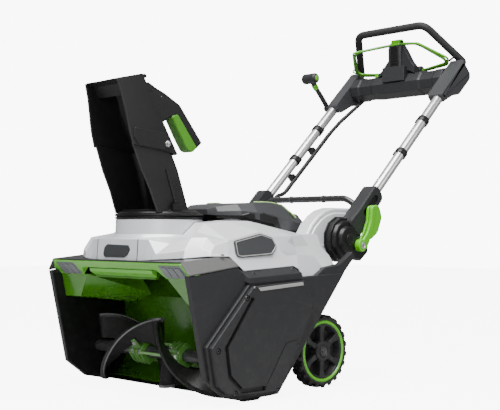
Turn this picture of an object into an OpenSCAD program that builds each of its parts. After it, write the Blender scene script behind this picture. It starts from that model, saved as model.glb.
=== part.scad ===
// Cordless single-stage snow blower: auger housing on two wheels, turning chute with a
// tilting deflector, folding tube handle with a start bail, and a hinged battery lid.
// X runs across the machine, the auger mouth faces -Y, Z is up and the ground is Z = 0.

/* [Auger housing] */
// Width cleared between the side plates
clear_w = 530; // [500:1:640]
// Thickness of each side plate
plate_t = 15; // [8:1:20]
// Radius swept by the auger paddles
auger_r = 90; // [74:1:92]
// Height of the auger axis above the ground
auger_z = 94; // [93:1:115]
// Gap between the paddles and the curved housing wall
drum_gap = 7; // [4:1:12]
// Wall of the curved housing and its funnel
drum_wall = 3; // [2:0.5:4]
// Depth of the belt cover, outside the right side plate
cover_t = 20; // [19:1:30]

/* [Drive] */
// Radius of the auger shaft
auger_shaft_r = 10; // [6:0.5:14]
// Groove radius of the auger pulley
auger_pulley_r = 60; // [45:1:66]
// Groove radius of the motor pulley
motor_pulley_r = 20; // [14:1:24]
// Radius of the motor housing
motor_r = 46; // [36:1:48]
// Radius of the motor shaft
motor_shaft_r = 8; // [5:0.5:9]

/* [Wheels] */
// Outside radius of the tyre
wheel_r = 95; // [85:1:100]
// Width of the tyre
wheel_w = 46; // [36:1:50]
// Radius of the fixed axle
axle_r = 8; // [6:0.5:12]
// Number of tread lugs around one edge of the tyre
lug_count = 22; // [12:1:30]

/* [Chute] */
// Inside radius of the discharge duct
duct_r = 92; // [80:1:95]
// Width of the lower chute at its base
chute_w = 170; // [150:1:176]
// Width of the deflector at its mouth
deflector_w = 130; // [100:1:140]
// Wall of the chute and deflector
chute_wall = 3; // [2:0.5:4]

/* [Handle] */
// Distance of each handle tube from the middle
tube_x = 209; // [205:1:250]
// Outside diameter of the handle tubes
tube_d = 30; // [22:1:34]
// Wall of the handle tubes
tube_wall = 2; // [1:0.5:3]
// Length of each handle tube
tube_len = 640; // [560:5:700]
// Rise of the handle tubes above the horizontal
handle_angle = 43.8; // [40:0.1:48]
// Radius of the round pivot hub
hub_r = 63; // [50:1:68]
// Radius of the pivot pin
pivot_pin_r = 10; // [6:0.5:14]
// Radius of the padded grip loop
grip_r = 12; // [9:0.5:14]
// Radius of the bail wire
bail_r = 3.5; // [2.5:0.5:5]

/* [Fits] */
// Radial clearance of a turning fit
run_fit = 0.05; // [0.02:0.01:0.1]
// Gap between pieces that pass each other
gap = 0.5; // [0.4:0.1:1]

/* [Hidden] */
$fn = 48;
half_in = clear_w / 2;
half_out = half_in + plate_t;
drum_r = auger_r + drum_gap;
auger_y = -433;
mouth_top_z = 328;
chute_y = -445;
ring_z = 434;
ring_r = 113;
motor_y = -272;
motor_z = 208;
wheel_y = -105;
wheel_in_x = half_in - 3 - wheel_w;
wheel_out_x = half_in - 3;
pivot_y = 25;
pivot_z = 384;
hub_x = tube_x - 17;
tube_start = hub_r + 2.5;
tilt_y = -487;
tilt_z = 640;
lid_hinge_y = -36;
lid_hinge_z = 436;
lid_pin_r = 3;
bail_y = 582;
bail_z = 925;
bail_x = 74;
bracket_out = 22;
lever_x = tube_x + bracket_out + 8;
cam_y = 62;
cam_z = 368;
t_lever_x = -(tube_x + 34);
pulley_x = half_out + 2.5;
pulley_w = 11;
console_half = tube_x - 30;
wide = half_in / 265;
button_at = [-95, 562, 912];
button_r = 9;
body_half = 188;

// ---- shapes shared by several pieces ----

// A Y-Z outline extruded along X from x0 to x1
module across(x0, x1, outline) {
    translate([x0, 0, 0]) rotate([90, 0, 90]) linear_extrude(x1 - x0) polygon(outline);
}

// A round bar along X
module bar_x(x0, x1, y, z, r) {
    translate([x0, y, z]) rotate([0, 90, 0]) cylinder(h = x1 - x0, r = r);
}

// A ring along X
module ring_x(x0, x1, y, z, r_out, r_in) {
    difference() {
        bar_x(x0, x1, y, z, r_out);
        bar_x(x0 - 1, x1 + 1, y, z, r_in);
    }
}

// The piece and its mirror image on the other side
module both_sides() {
    children();
    mirror([1, 0, 0]) children();
}

// A closed solid through sections that have the same number of points
module loft(sections) {
    n = len(sections[0]);
    last = len(sections) - 1;
    points = [for (s = sections) for (p = s) p];
    sides = [for (k = [0 : last - 1]) for (i = [0 : n - 1]) let (j = (i + 1) % n)
        each [[k * n + i, k * n + j, (k + 1) * n + j], [k * n + i, (k + 1) * n + j, (k + 1) * n + i]]];
    start = [for (i = [n - 1 : -1 : 0]) i];
    end = [for (i = [0 : n - 1]) last * n + i];
    polyhedron(points = points, faces = concat([start], sides, [end]));
}

// Unit vector
function unit(v) = v / norm(v);

// A path whose inner corners are rounded by arcs of n points that start cut back by r
function rounded(path, r, n) = [for (i = [0 : len(path) - 1])
    if (i == 0 || i == len(path) - 1) path[i]
    else let (a = path[i] + unit(path[i - 1] - path[i]) * r, b = path[i] + unit(path[i + 1] - path[i]) * r)
        each [for (k = [0 : n]) let (t = k / n) a * (1 - t) * (1 - t) + path[i] * 2 * t * (1 - t) + b * t * t]];

// Side vector of a ring, kept square to the direction of travel
function side_of(dir) = unit(cross(dir, abs(dir[0]) > 0.9 ? [0, 1, 0.01] : [1, 0, 0.01]));

// Side vectors carried along a path so that the tube doesn't twist
function carried(dirs, i, side) = i >= len(dirs) ? [] :
    let (s = unit(side - dirs[i] * (side * dirs[i]))) concat([s], carried(dirs, i + 1, s));

// A round tube swept along a path
module tube_along(path, r, sides) {
    dirs = [for (i = [0 : len(path) - 1])
        unit(path[min(i + 1, len(path) - 1)] - path[max(i - 1, 0)])];
    side = carried(dirs, 0, side_of(dirs[0]));
    loft([for (i = [0 : len(path) - 1]) let (s = side[i], u = cross(dirs[i], side[i]))
        [for (k = [0 : sides - 1]) let (a = -360 * k / sides) path[i] + r * (cos(a) * s + sin(a) * u)]]);
}

// Places a piece drawn along +Z from the pivot so that it lies along a handle tube
module along_handle(x) {
    translate([x, pivot_y, pivot_z]) rotate([handle_angle - 90, 0, 0]) children();
}

// A point s along the handle tube and n above it, at x
function on_handle(x, s, n) = [x, pivot_y + s * cos(handle_angle) - n * sin(handle_angle),
    pivot_z + s * sin(handle_angle) + n * cos(handle_angle)];

// ---- auger housing ----

plate_outline = [[-590, 299], [-434, 318], [-405, 281], [-47, 298], [-296, 7], [-330, 5], [-430, 5],
    [-473, 14], [-535, 59]];

cover_outline = [[-406, 279], [-544, 138], [-524, 45], [-490, 20], [-400, 12], [-306, 12], [-178, 219],
    [-220, 289]];

// Curved wall behind the auger and the faceted funnel that leads up to the duct
module auger_drum() {
    sector = [[0, 0], [60, -104], [200, -104], [200, 0]];
    wall_top_y = -352;
    color("green") {
        translate([-half_in, 0, 0]) rotate([90, 0, 90]) linear_extrude(clear_w) {
            translate([auger_y, auger_z]) intersection() {
                difference() {
                    circle(r = drum_r + drum_wall);
                    circle(r = drum_r);
                }
                polygon(sector);
            }
            polygon([[auger_y + drum_r, auger_z], [auger_y + drum_r + drum_wall, auger_z],
                [wall_top_y + drum_wall, 250], [wall_top_y, 250]]);
        }
        difference() {
            hull() {
                translate([-half_in, -588, 230]) cube([clear_w, 588 + wall_top_y + drum_wall, 1]);
                translate([0, chute_y, 370]) cylinder(h = 1, r = duct_r + drum_wall, $fn = 32);
            }
            hull() {
                translate([-half_in + drum_wall, -588 + drum_wall, 229])
                    cube([clear_w - 2 * drum_wall, 588 + wall_top_y - drum_wall, 1]);
                translate([0, chute_y, 372]) cylinder(h = 1, r = duct_r, $fn = 32);
            }
            translate([-half_in - 1, -600, 0]) cube([clear_w + 2, 100, 314]);
        }
        translate([0, chute_y, 370]) difference() {
            cylinder(h = ring_z - 376, r = duct_r + drum_wall);
            translate([0, 0, -1]) cylinder(h = ring_z, r = duct_r);
        }
    }
}

// Front frame over the mouth, with a deeper lamp pod at each end
module front_bezel() {
    end = half_in - gap;
    outline = [[half_in - 12, 328], [half_out - 1, 303], [end, 303], [end, 290], [160 * wide, 290],
        [140 * wide, 311], [-140 * wide, 311], [-160 * wide, 290], [-end, 290], [-end, 303],
        [1 - half_out, 303], [12 - half_in, 328]];
    color("yellowgreen") difference() {
        translate([0, -566, 0]) rotate([90, 0, 0]) linear_extrude(28)
            polygon(outline);
        across(-400, 400, [[-600, 280], [-600, 322], [-594, 326], [-570, 288], [-570, 280]]);
        both_sides() translate([168 * wide, -592, 295]) cube([78 * wide, 16, 25]);
    }
}

// Flat side plate with a seat for the auger bearing
module side_plate() {
    difference() {
        across(half_in, half_out, plate_outline);
        bar_x(half_in - 1, half_out + 1, auger_y, auger_z, 26 + run_fit);
        bar_x(half_in - 1, half_out + 1, motor_y, motor_z, motor_shaft_r + 2);
    }
}

module left_side_plate() {
    color("dimgray") mirror([1, 0, 0]) side_plate();
    color("dimgray") across(-half_out - 10, -half_out, [[-470, 60], [-450, 40], [-416, 40], [-396, 60],
        [-396, 128], [-416, 148], [-450, 148], [-470, 128]]);
}

module right_side_plate() {
    color("dimgray") side_plate();
}

// Deep cover over the belt drive
module belt_cover() {
    wall = 3;
    color("dimgray") difference() {
        across(half_out, half_out + cover_t, cover_outline);
        translate([half_out - 1, 0, 0]) rotate([90, 0, 90]) linear_extrude(cover_t - wall + 1)
            offset(delta = -wall) polygon(cover_outline);
    }
}

module scraper_bar() {
    color("black") across(-half_in, half_in, [[-398, 1], [-366, 1], [-362, 6], [-398, 4]]);
}

module skid_shoes() {
    color("black") both_sides()
        across(half_in + 1, half_out - 1, [[-422, 5], [-414, 0], [-366, 0], [-358, 5]]);
}

// Folded sheet over the front of the housing: a flat shoulder and a bevel at each end, joined by a lip
module front_deck() {
    sheet = 3;
    edge_x = half_out - 27;
    rise = 11.5;
    inner_x = 190;
    front = -565;
    back = -474;
    low = mouth_top_z + 3.5;
    drop = 28;
    function section(x, z, t) = [[x, front, z], [x, front, z + t], [x, back, z + rise + t], [x, back, z + rise]];
    color("dimgray") {
        both_sides() loft([section(inner_x, low, sheet), section(edge_x, low, sheet),
            section(half_out, low - drop, sheet)]);
        translate([-inner_x - 1, front, low]) cube([2 * inner_x + 2, 4, sheet]);
    }
}

// Half sections of the top shroud: y, then x and z of the hem, side break, shoulder and top edge
shroud_rows = [
    [-566, [95, 337], [92, 343], [84, 352], [60, 354]],
    [-545, [190, 339], [170, 354], [110, 380], [90, 386]],
    [-470, [246, 349], [225, 366], [160, 386], [112, 392]],
    [-428, [268.6, 320], [250.5, 388], [180, 410], [112, 414]],
    [-380, [275.8, 293], [250, 390], [172, 416], [118, 420]],
    [-300, [274.7, 297], [247.3, 400], [165, 424], [120, 426]],
    [-220, [273.7, 301], [247.8, 398], [150, 418], [120, 422]],
    [-135, [274, 306], [205, 386], [150, 397], [120, 398]],
    [-98, [268, 309], [192, 384], [176, 397], [120, 398]],
    [-70, [192, 312], [190, 428], [176, 436], [120, 398]],
    [-20, [190, 330], [188, 462], [176, 466], [120, 398]],
    [50, [190, 340], [188, 466], [176, 468], [120, 398]],
    [110, [190, 350], [186, 400], [170, 404], [120, 396]]
];

function shroud_ring(row, t, drop) = let (h = [for (k = [1 : 4]) [row[k][0] - t, row[k][1] - (k == 1 ? drop : t)]])
    concat([for (p = h) [p[0], row[0], p[1]]], [for (k = [3 : -1 : 0]) [-h[k][0], row[0], h[k][1]]]);

// Light faceted cover over the motor and battery bay, with a raised collar under the chute
module top_shroud() {
    wall = 3;
    count = len(shroud_rows);
    inner = [for (i = [0 : count - 1])
        [shroud_rows[i][0] + (i == 0 ? wall : i == count - 1 ? -wall : 0), shroud_rows[i][1],
            shroud_rows[i][2], shroud_rows[i][3], shroud_rows[i][4]]];
    color("lightgray") difference() {
        union() {
            loft([for (row = shroud_rows) shroud_ring(row, 0, 0)]);
            translate([0, chute_y, 384]) cylinder(h = ring_z - 7 - 384, r = ring_r - 3);
        }
        loft([for (row = inner) shroud_ring(row, wall, 30)]);
        translate([0, chute_y, 300]) cylinder(h = 200, r = duct_r + drum_wall + gap);
        translate([-116, -308, 380]) cube([232, 284, 90]);
    }
}

// Sloped floor of the body, the rear closing panel and the plates that hold the axle
module rear_frame() {
    half = body_half;
    color("dimgray") {
        across(-half, half, [[-296, 12], [-292, 8], [-22, 322], [86, 336], [86, 340], [-25, 327]]);
        both_sides() across(half, half_in - gap, [[-290, 18], [-216, 168], [-212, 246], [-122, 290], [-52, 290],
            [-52, 294], [-124, 294], [-216, 250], [-220, 170], [-294, 18]]);
        both_sides() difference() {
            across(half - 12, half - 4, [[-178, 149], [-96, 240], [-76, 110], [-84, 78], [-126, 78], [-136, 96]]);
            bar_x(half - 20, half, wheel_y, wheel_r, axle_r + run_fit);
        }
    }
}

module axle() {
    color("gray") {
        bar_x(-wheel_out_x + 4, wheel_out_x - 4, wheel_y, wheel_r, axle_r);
        both_sides() ring_x(184.5, wheel_in_x - gap, wheel_y, wheel_r, axle_r + 5, axle_r);
    }
}

module battery_bay() {
    color("black") difference() {
        translate([-112, -304, 330]) cube([224, 254, 90]);
        translate([-108, -300, 334]) cube([104, 246, 100]);
        translate([4, -300, 334]) cube([104, 246, 100]);
    }
    color("black") both_sides() {
        bar_x(52, 88, lid_hinge_y, lid_hinge_z, lid_pin_r);
        for (x = [52, 82]) {
            bar_x(x, x + 6, lid_hinge_y, lid_hinge_z, 6);
            across(x, x + 6, [[-51, 392], [-44, 392], [-30, 420], [-30, lid_hinge_z], [-42, lid_hinge_z - 4],
                [-42, 416], [-51, 406]]);
        }
    }
}

module battery_packs() {
    color("dimgray") both_sides() {
        translate([8, -292, 336]) cube([96, 230, 100]);
        translate([30, -230, 436]) cube([52, 120, 12]);
    }
}

module headlight_housings() {
    color("gray") both_sides() difference() {
        translate([168 * wide + gap, -588, 295 + gap]) cube([78 * wide - 2 * gap, 11, 25 - 2 * gap]);
        for (i = [0 : 2]) translate([(173 + 24 * i) * wide, -589, 299]) cube([20 * wide, 8, 17]);
    }
}

module headlight_lenses() {
    color("white") both_sides() for (i = [0 : 2])
        translate([(173 + 24 * i) * wide + gap, -589, 299 + gap])
            cube([20 * wide - 2 * gap, 7.5, 17 - 2 * gap]);
}

// Ring on top of the collar that the turning chute slides on
module chute_base_ring() {
    color("black") translate([0, chute_y, ring_z - 7]) difference() {
        cylinder(h = 6.5, r = ring_r - 1);
        translate([0, 0, -1]) cylinder(h = 9, r = duct_r + 6);
    }
}

// The flank of the shroud leans in by flank_slope for each unit of height
flank_slope = 0.266;
function flank_x(z) = 263.3 - (z - 340) * flank_slope;

// Plain badge plates, one on each flank and one on the nose
module badges() {
    color("dimgray") {
        both_sides() loft([for (x = [flank_x(340) + 0.6, flank_x(340) + 2.6])
            [for (p = [[-424, 378], [-330, 392], [-292, 384], [-286, 366], [-304, 350], [-410, 344], [-424, 348]])
                [x - (p[1] - 340) * flank_slope, p[0], p[1]]]]);
        translate([0, -566.4, 0]) rotate([90, 0, 0]) linear_extrude(2)
            polygon([[-48, 345], [-42, 352], [42, 352], [48, 345], [42, 338], [-42, 338]]);
    }
}

// ---- drive ----

module motor() {
    color("silver") difference() {
        union() {
            bar_x(half_in - 125, half_in - 6, motor_y, motor_z, motor_r);
            bar_x(half_in - 6, half_in, motor_y, motor_z, motor_r - 14);
        }
        bar_x(half_in - 90, half_in + 1, motor_y, motor_z, motor_shaft_r + run_fit);
    }
}

// Grooved pulley on a shaft along X
module pulley(y, z, r, bore) {
    difference() {
        union() {
            bar_x(pulley_x, pulley_x + pulley_w, y, z, r);
            bar_x(pulley_x, pulley_x + 1.5, y, z, r + 4);
            bar_x(pulley_x + pulley_w - 1.5, pulley_x + pulley_w, y, z, r + 4);
        }
        bar_x(pulley_x - 1, pulley_x + pulley_w + 1, y, z, bore);
    }
}

module motor_pulley() {
    color("gray") {
        bar_x(half_in - 88, pulley_x + pulley_w, motor_y, motor_z, motor_shaft_r);
        pulley(motor_y, motor_z, motor_pulley_r, motor_shaft_r - 0.5);
    }
}

module auger_pulley() {
    color("gray") pulley(auger_y, auger_z, auger_pulley_r, auger_shaft_r);
}

module belt_loop(extra) {
    hull() {
        translate([auger_y, auger_z]) circle(r = auger_pulley_r + extra);
        translate([motor_y, motor_z]) circle(r = motor_pulley_r + extra);
    }
}

module drive_belt() {
    color("black") translate([pulley_x + 2.5, 0, 0]) rotate([90, 0, 90]) linear_extrude(pulley_w - 5)
        difference() {
            belt_loop(gap + 4);
            belt_loop(gap);
        }
}

// The idler sits outside the lower run of the belt, square to its middle
belt_span = norm([motor_y - auger_y, motor_z - auger_z]);
belt_dir = [motor_y - auger_y, motor_z - auger_z] / belt_span;
run_lean = asin((auger_pulley_r - motor_pulley_r) / belt_span);
run_out = [belt_dir[1] * cos(run_lean) + belt_dir[0] * sin(run_lean),
    -belt_dir[0] * cos(run_lean) + belt_dir[1] * sin(run_lean)];
idler_r = 16;
idler_at = [auger_y, auger_z] + run_out * (auger_pulley_r + gap + 4 + gap + idler_r) +
    [-run_out[1], run_out[0]] * belt_span * 0.5;

module idler_wheel() {
    color("silver") ring_x(pulley_x + 0.5, pulley_x + pulley_w - 1, idler_at[0], idler_at[1], idler_r, 4 + run_fit);
}

module idler_arm() {
    color("gray") {
        bar_x(half_out, pulley_x + pulley_w, idler_at[0], idler_at[1], 4);
        difference() {
            bar_x(half_out, pulley_x, idler_at[0], idler_at[1], idler_r - 2);
            bar_x(half_out - 1, pulley_x + 1, idler_at[0], idler_at[1], 3.5);
        }
    }
}

module auger_bearings() {
    color("silver") both_sides()
        ring_x(half_in + 2, half_out - 1, auger_y, auger_z, 26, auger_shaft_r + run_fit);
}

module control_board() {
    color("darkgreen") translate([-150, -210, 250]) cube([180, 110, 3]);
    color("silver") translate([-140, -200, 253]) cube([160, 90, 22]);
}

cover_screw_spots = [[-423, 246], [-515, 128], [-461, 27], [-318, 19], [-244, 126], [-190, 214]];

module cover_screws() {
    color("black") for (p = cover_screw_spots)
        bar_x(half_out + cover_t, half_out + cover_t + 2, p[0], p[1], 5);
    color("black") for (p = [[-423, 250], [-500, 100], [-330, 60], [-180, 240]])
        bar_x(-half_out - 2, -half_out, p[0], p[1], 5);
}

// ---- auger ----

module auger_shaft() {
    color("dimgray") bar_x(-half_out + 2, pulley_x + pulley_w, auger_y, auger_z, auger_shaft_r);
}

// One rubber blade: a strip that winds from the shaft end to the middle
module spiral_blade(side, phase) {
    start_x = 70;
    end_x = half_in - 14;
    turn = 300;
    steps = 26;
    inner = auger_r - 42;
    half_t = 3;
    function at(k, r, dx) = let (t = k / steps, a = phase + turn * t)
        [side * (start_x + (end_x - start_x) * t + dx), auger_y + r * cos(a), auger_z + r * sin(a)];
    loft([for (k = [0 : steps]) side > 0
        ? [at(k, inner, -half_t), at(k, auger_r, -half_t), at(k, auger_r, half_t), at(k, inner, half_t)]
        : [at(k, inner, half_t), at(k, auger_r, half_t), at(k, auger_r, -half_t), at(k, inner, -half_t)]]);
}

module auger_paddles() {
    color("black") {
        for (phase = [0, 180]) {
            spiral_blade(1, phase);
            spiral_blade(-1, phase);
        }
        // Curved throwing paddles across the middle
        for (turn = [0, 180]) translate([-68, auger_y, auger_z]) rotate([turn + 20, 0, 0]) rotate([90, 0, 90])
            linear_extrude(136) polygon([[34, -3], [auger_r - 4, -16], [auger_r - 1, -9], [34, 5]]);
    }
}

// Steel arms and cross plates that clamp the rubber to the shaft
module auger_brackets() {
    arm_reach = auger_r - 44;
    color("green") {
        for (x = [-half_in + 22, -72, 72, half_in - 22]) difference() {
            union() {
                bar_x(x - 2, x + 2, auger_y, auger_z, 24);
                translate([x - 2, auger_y - arm_reach, auger_z - 12]) cube([4, 2 * arm_reach, 24]);
            }
            bar_x(x - 3, x + 3, auger_y, auger_z, auger_shaft_r);
        }
        for (turn = [0, 180]) translate([-70.5, auger_y, auger_z]) rotate([turn + 20, 0, 0])
            translate([0, 30, 5.5]) cube([141, 18, 3]);
    }
}

module auger_bolts() {
    color("silver") for (turn = [0, 180]) for (x = [-50, 0, 50])
        translate([x, auger_y, auger_z]) rotate([turn + 20, 0, 0]) translate([0, 39, 8.5]) cylinder(h = 5, r = 5);
}

// ---- wheels ----

module lug_ring(x0, x1, turn) {
    translate([x0, wheel_y, wheel_r]) rotate([90, 0, 90]) linear_extrude(x1 - x0) difference() {
        union() {
            circle(r = wheel_r - 6);
            for (i = [0 : lug_count - 1]) rotate(turn + 360 * i / lug_count)
                translate([wheel_r - 12, -5]) square([12 - 0.2, 10]);
        }
        circle(r = wheel_r - 16);
    }
}

module tyre() {
    shift = 180 / lug_count;
    lug_ring(wheel_in_x, wheel_in_x + wheel_w * 0.45, 0);
    ring_x(wheel_in_x + wheel_w * 0.45, wheel_in_x + wheel_w * 0.55, wheel_y, wheel_r, wheel_r - 6, wheel_r - 16);
    lug_ring(wheel_in_x + wheel_w * 0.55, wheel_out_x, shift);
}

module rim() {
    difference() {
        union() {
            ring_x(wheel_in_x + 4, wheel_out_x - 10, wheel_y, wheel_r, wheel_r - 16, wheel_r - 22);
            bar_x(wheel_out_x - 24, wheel_out_x - 16, wheel_y, wheel_r, wheel_r - 20);
            bar_x(wheel_in_x + 2, wheel_out_x - 2, wheel_y, wheel_r, 20);
            for (i = [0 : 5]) translate([wheel_out_x - 18, wheel_y, wheel_r]) rotate([60 * i, 0, 0])
                translate([0, -3, 16]) cube([9, 6, wheel_r - 40]);
        }
        bar_x(wheel_in_x - 1, wheel_out_x - 3.5, wheel_y, wheel_r, axle_r + run_fit);
    }
}

module rim_ring() {
    ring_x(wheel_out_x - 10, wheel_out_x, wheel_y, wheel_r, wheel_r - 16, wheel_r - 24);
}

module left_tyre() { color("black") mirror([1, 0, 0]) tyre(); }
module left_rim() { color("dimgray") mirror([1, 0, 0]) rim(); }
module left_rim_ring() { color("limegreen") mirror([1, 0, 0]) rim_ring(); }
module right_tyre() { color("black") tyre(); }
module right_rim() { color("dimgray") rim(); }
module right_rim_ring() { color("limegreen") rim_ring(); }

// ---- chute ----

// Outline of a channel that is open to the front: half width, front, back and corner cut
function channel(z, half, front, back, cut) = [[-half, front, z], [-half, back - cut, z],
    [-half + cut, back, z], [half - cut, back, z], [half, back - cut, z], [half, front, z]];

module channel_solid(rows, wall) {
    difference() {
        loft([for (r = rows) channel(r[0], r[1], r[2], r[3], 22)]);
        loft([for (i = [0 : len(rows) - 1]) let (r = rows[i], end = i == 0 ? -5 : i == len(rows) - 1 ? 5 : 0)
            channel(r[0] + end, r[1] - wall, r[2] - 60, r[3] - wall, 22 - wall * 0.4)]);
    }
}

module chute_ring() {
    color("black") translate([0, chute_y, ring_z]) difference() {
        union() {
            cylinder(h = 12, r = ring_r);
            cylinder(h = 16, r = ring_r - 8);
        }
        translate([0, 0, -1]) cylinder(h = 20, r = duct_r - 6);
    }
}

module lower_chute() {
    base_z = ring_z + 16;
    color("black") difference() {
        channel_solid([[base_z, chute_w / 2, -524, -392], [540, chute_w / 2 - 5, -556, -425],
            [598, chute_w / 2 - 8, -584, -452], [634, chute_w / 2 - 9, -594, -468]], chute_wall);
        across(-120, 120, [[-700, 604], [-560, 604], [-505, 630], [-474, 630], [-462, 600], [-380, 600],
            [-380, 700], [-700, 700]]);
        both_sides() bar_x(60, 90, tilt_y, tilt_z - 22, 3 + run_fit);
    }
}

module deflector() {
    outer = chute_w / 2 - 8 + chute_wall + 2;
    color("dimgray") {
        difference() {
            channel_solid([[588, outer, -588, -440], [640, outer - 1, -603, -465], [700, outer - 7, -618, -498],
                [768, deflector_w / 2, -634, -524]], chute_wall);
            across(-120, 120, [[-700, 560], [-520, 560], [-520, 590], [-700, 656]]);
        }
        both_sides() bar_x(chute_w / 2 - 12 - 8, outer - 2, tilt_y, tilt_z - 22, 3);
    }
}

module deflector_arm() {
    color("dimgray") across(-10, 10, [[-523, 766], [-493, 775], [-440, 755], [-389, 729], [-306, 627],
        [-330, 618], [-398, 704], [-426, 700], [-459, 676], [-474, 660]]);
}

module deflector_grip() {
    color("limegreen") across(-13, 13, [[-398.5, 703.5], [-330.5, 617.5], [-362, 610], [-386, 642], [-420, 690]]);
}

// ---- battery lid ----

// y, half width at the hem, half width at the top, hem height and top height
lid_rows = [
    [-318, 42, 36, 446, 466],
    [-262, 112, 92, 444, 474],
    [-219, 128, 108, 434, 478],
    [-169, 134, 112, 426, 481],
    [-135, 134, 112, 406, 480],
    [-98, 134, 110, 408, 472],
    [-60, 114, 98, 424, 450],
    [-44, 112, 96, 430, 440]
];

function lid_ring(r, t, drop) = let (side = [[r[1] - t, r[3] - drop], [r[1] - t, r[3] + 6], [r[2] - t, r[4] - t]])
    concat([for (p = side) [p[0], r[0], p[1]]], [for (k = [2 : -1 : 0]) [-side[k][0], r[0], side[k][1]]]);

module battery_lid() {
    wall = 3;
    n = len(lid_rows);
    inner = [for (i = [0 : n - 1]) concat([lid_rows[i][0] + (i == 0 ? wall : i == n - 1 ? -wall : 0)],
        [for (k = [1 : 4]) lid_rows[i][k]])];
    color("dimgray") difference() {
        loft([for (r = lid_rows) lid_ring(r, 0, 0)]);
        loft([for (r = inner) lid_ring(r, wall, 40)]);
    }
    color("dimgray") both_sides()
        ring_x(60, 80, lid_hinge_y, lid_hinge_z, 9, lid_pin_r + run_fit);
}

// Pale see-through strip along the rear of the lid
module lid_window() {
    color("palegreen") both_sides()
        loft([for (y = [-160, -104]) [[60, y, 481.5], [90, y, 481.5], [90, y, 483.5], [60, y, 483.5]]]);
}

// ---- handle ----

// Twelve-sided fixed hub and its pin
module pivot_hub() {
    root = body_half + 4;
    translate([root, pivot_y, pivot_z]) rotate([0, 90, 0]) cylinder(h = hub_x + 8 - root, r = hub_r, $fn = 12);
    bar_x(hub_x, tube_x + 30, pivot_y, pivot_z, pivot_pin_r);
}

module pivot_hubs() {
    color("dimgray") both_sides() pivot_hub();
}

module bracket() {
    lug_x = hub_x + 8 + gap;
    difference() {
        union() {
            bar_x(lug_x, tube_x + bracket_out, pivot_y, pivot_z, 34);
            along_handle(tube_x) translate([lug_x - tube_x, -25, 30]) cube([tube_x + bracket_out - lug_x, 50, 60]);
            along_handle(tube_x) translate([-16, -25, tube_start]) cube([38, 50, 186 - tube_start]);
            bar_x(tube_x + 20, lever_x + 8, cam_y, cam_z, 4);
            translate([tube_x + 4, pivot_y + 8, cam_z - 16]) cube([16, 46, 30]);
        }
        bar_x(hub_x, tube_x + 40, pivot_y, pivot_z, pivot_pin_r + run_fit);
        along_handle(tube_x) translate([0, 0, tube_start]) cylinder(h = 200, r = tube_d / 2 + run_fit);
    }
}

module right_bracket() { color("dimgray") bracket(); }
module left_bracket() { color("dimgray") mirror([1, 0, 0]) bracket(); }

// Cam lever on a cross pin, closed against the bracket
module cam_lever() {
    difference() {
        union() {
            bar_x(lever_x - 7, lever_x + 7, cam_y, cam_z, 17);
            across(lever_x - 6, lever_x + 6, [[cam_y - 10, cam_z + 12], [88, 412], [100, 448], [104, 478],
                [134, 478], [146, 446], [128, 414], [cam_y + 16, cam_z - 6]]);
        }
        bar_x(lever_x - 20, lever_x + 20, cam_y, cam_z, 4 + run_fit);
    }
}

module right_cam_lever() { color("limegreen") cam_lever(); }
module left_cam_lever() { color("limegreen") mirror([1, 0, 0]) cam_lever(); }

module crossbar() {
    end = tube_x - 24;
    color("dimgray") tube_along(rounded([on_handle(-end, 132, 0), on_handle(-end + 36, 144, 22),
        on_handle(end - 36, 144, 22), on_handle(end, 132, 0)], 14, 3), 9, 16);
    color("dimgray") both_sides() across(end - 4, tube_x - tube_d / 2 - 1, [for (c = [[118, -10], [118, 12], [146, 12], [146, -10]])
        let (p = on_handle(0, c[0], c[1])) [p[1], p[2]]]);
}

module handle_tube() {
    along_handle(tube_x) translate([0, 0, tube_start]) difference() {
        cylinder(h = tube_len, r = tube_d / 2);
        translate([0, 0, -1]) cylinder(h = tube_len + 2, r = tube_d / 2 - tube_wall);
    }
}

module right_tube() { color("silver") handle_tube(); }
module left_tube() { color("silver") mirror([1, 0, 0]) handle_tube(); }

clip_spots = [360, 508];

module tube_clips() {
    color("black") both_sides() for (s = clip_spots) along_handle(tube_x) translate([0, 0, s]) {
        difference() {
            cylinder(h = 14, r = tube_d / 2 + 3);
            translate([0, 0, -1]) cylinder(h = 16, r = tube_d / 2);
        }
    }
}

// Beam between the tubes with the tower that carries the bail
module console() {
    beam = [[528, 856], [560, 842], [596, 846], [614, 872], [606, 908], [574, 922], [540, 914], [522, 886]];
    color("dimgray") {
        difference() {
            across(-console_half, console_half, beam);
            translate([-console_half - 1, 0, 0]) rotate([90, 0, 90]) linear_extrude(2 * console_half + 2)
                offset(delta = -4) polygon(beam);
            translate([button_at[0], button_at[1], 900]) cylinder(h = 40, r = button_r + run_fit);
        }
        loft([[[-30, 524, 905], [-30, 572, 905], [30, 572, 905], [30, 524, 905]],
            [[-24, 526, 965], [-24, 560, 965], [24, 560, 965], [24, 526, 965]],
            [[-20, 530, 1004], [-20, 556, 1004], [20, 556, 1004], [20, 530, 1004]]]);
        both_sides() difference() {
            hull() {
                bar_x(bail_x - 14, bail_x - 2, bail_y, bail_z, 12, $fn = 32);
                translate([bail_x - 14, bail_y - 22, 896]) cube([12, 40, 4]);
            }
            bar_x(bail_x - 20, bail_x, bail_y, bail_z, bail_r + run_fit);
        }
    }
}

module console_cap() {
    difference() {
        along_handle(tube_x) translate([-29 + gap, -20, cap_start]) cube([48, 72, cap_len]);
        along_handle(tube_x) translate([0, 0, cap_start - 10])
            cylinder(h = tube_len + tube_start - cap_start + 10, r = tube_d / 2 + run_fit);
    }
}

cap_start = 612;
cap_len = 178;

module console_caps() {
    color("dimgray") both_sides() console_cap();
}

grip_root = cap_start + cap_len + 0.4;
grip_path = rounded([on_handle(-tube_x + 5, grip_root, -4), on_handle(-tube_x + 5, grip_root + 18, -4),
    [-132, 505, 1052], [132, 505, 1052], on_handle(tube_x - 5, grip_root + 18, -4),
    on_handle(tube_x - 5, grip_root, -4)], 16, 6);

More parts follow.
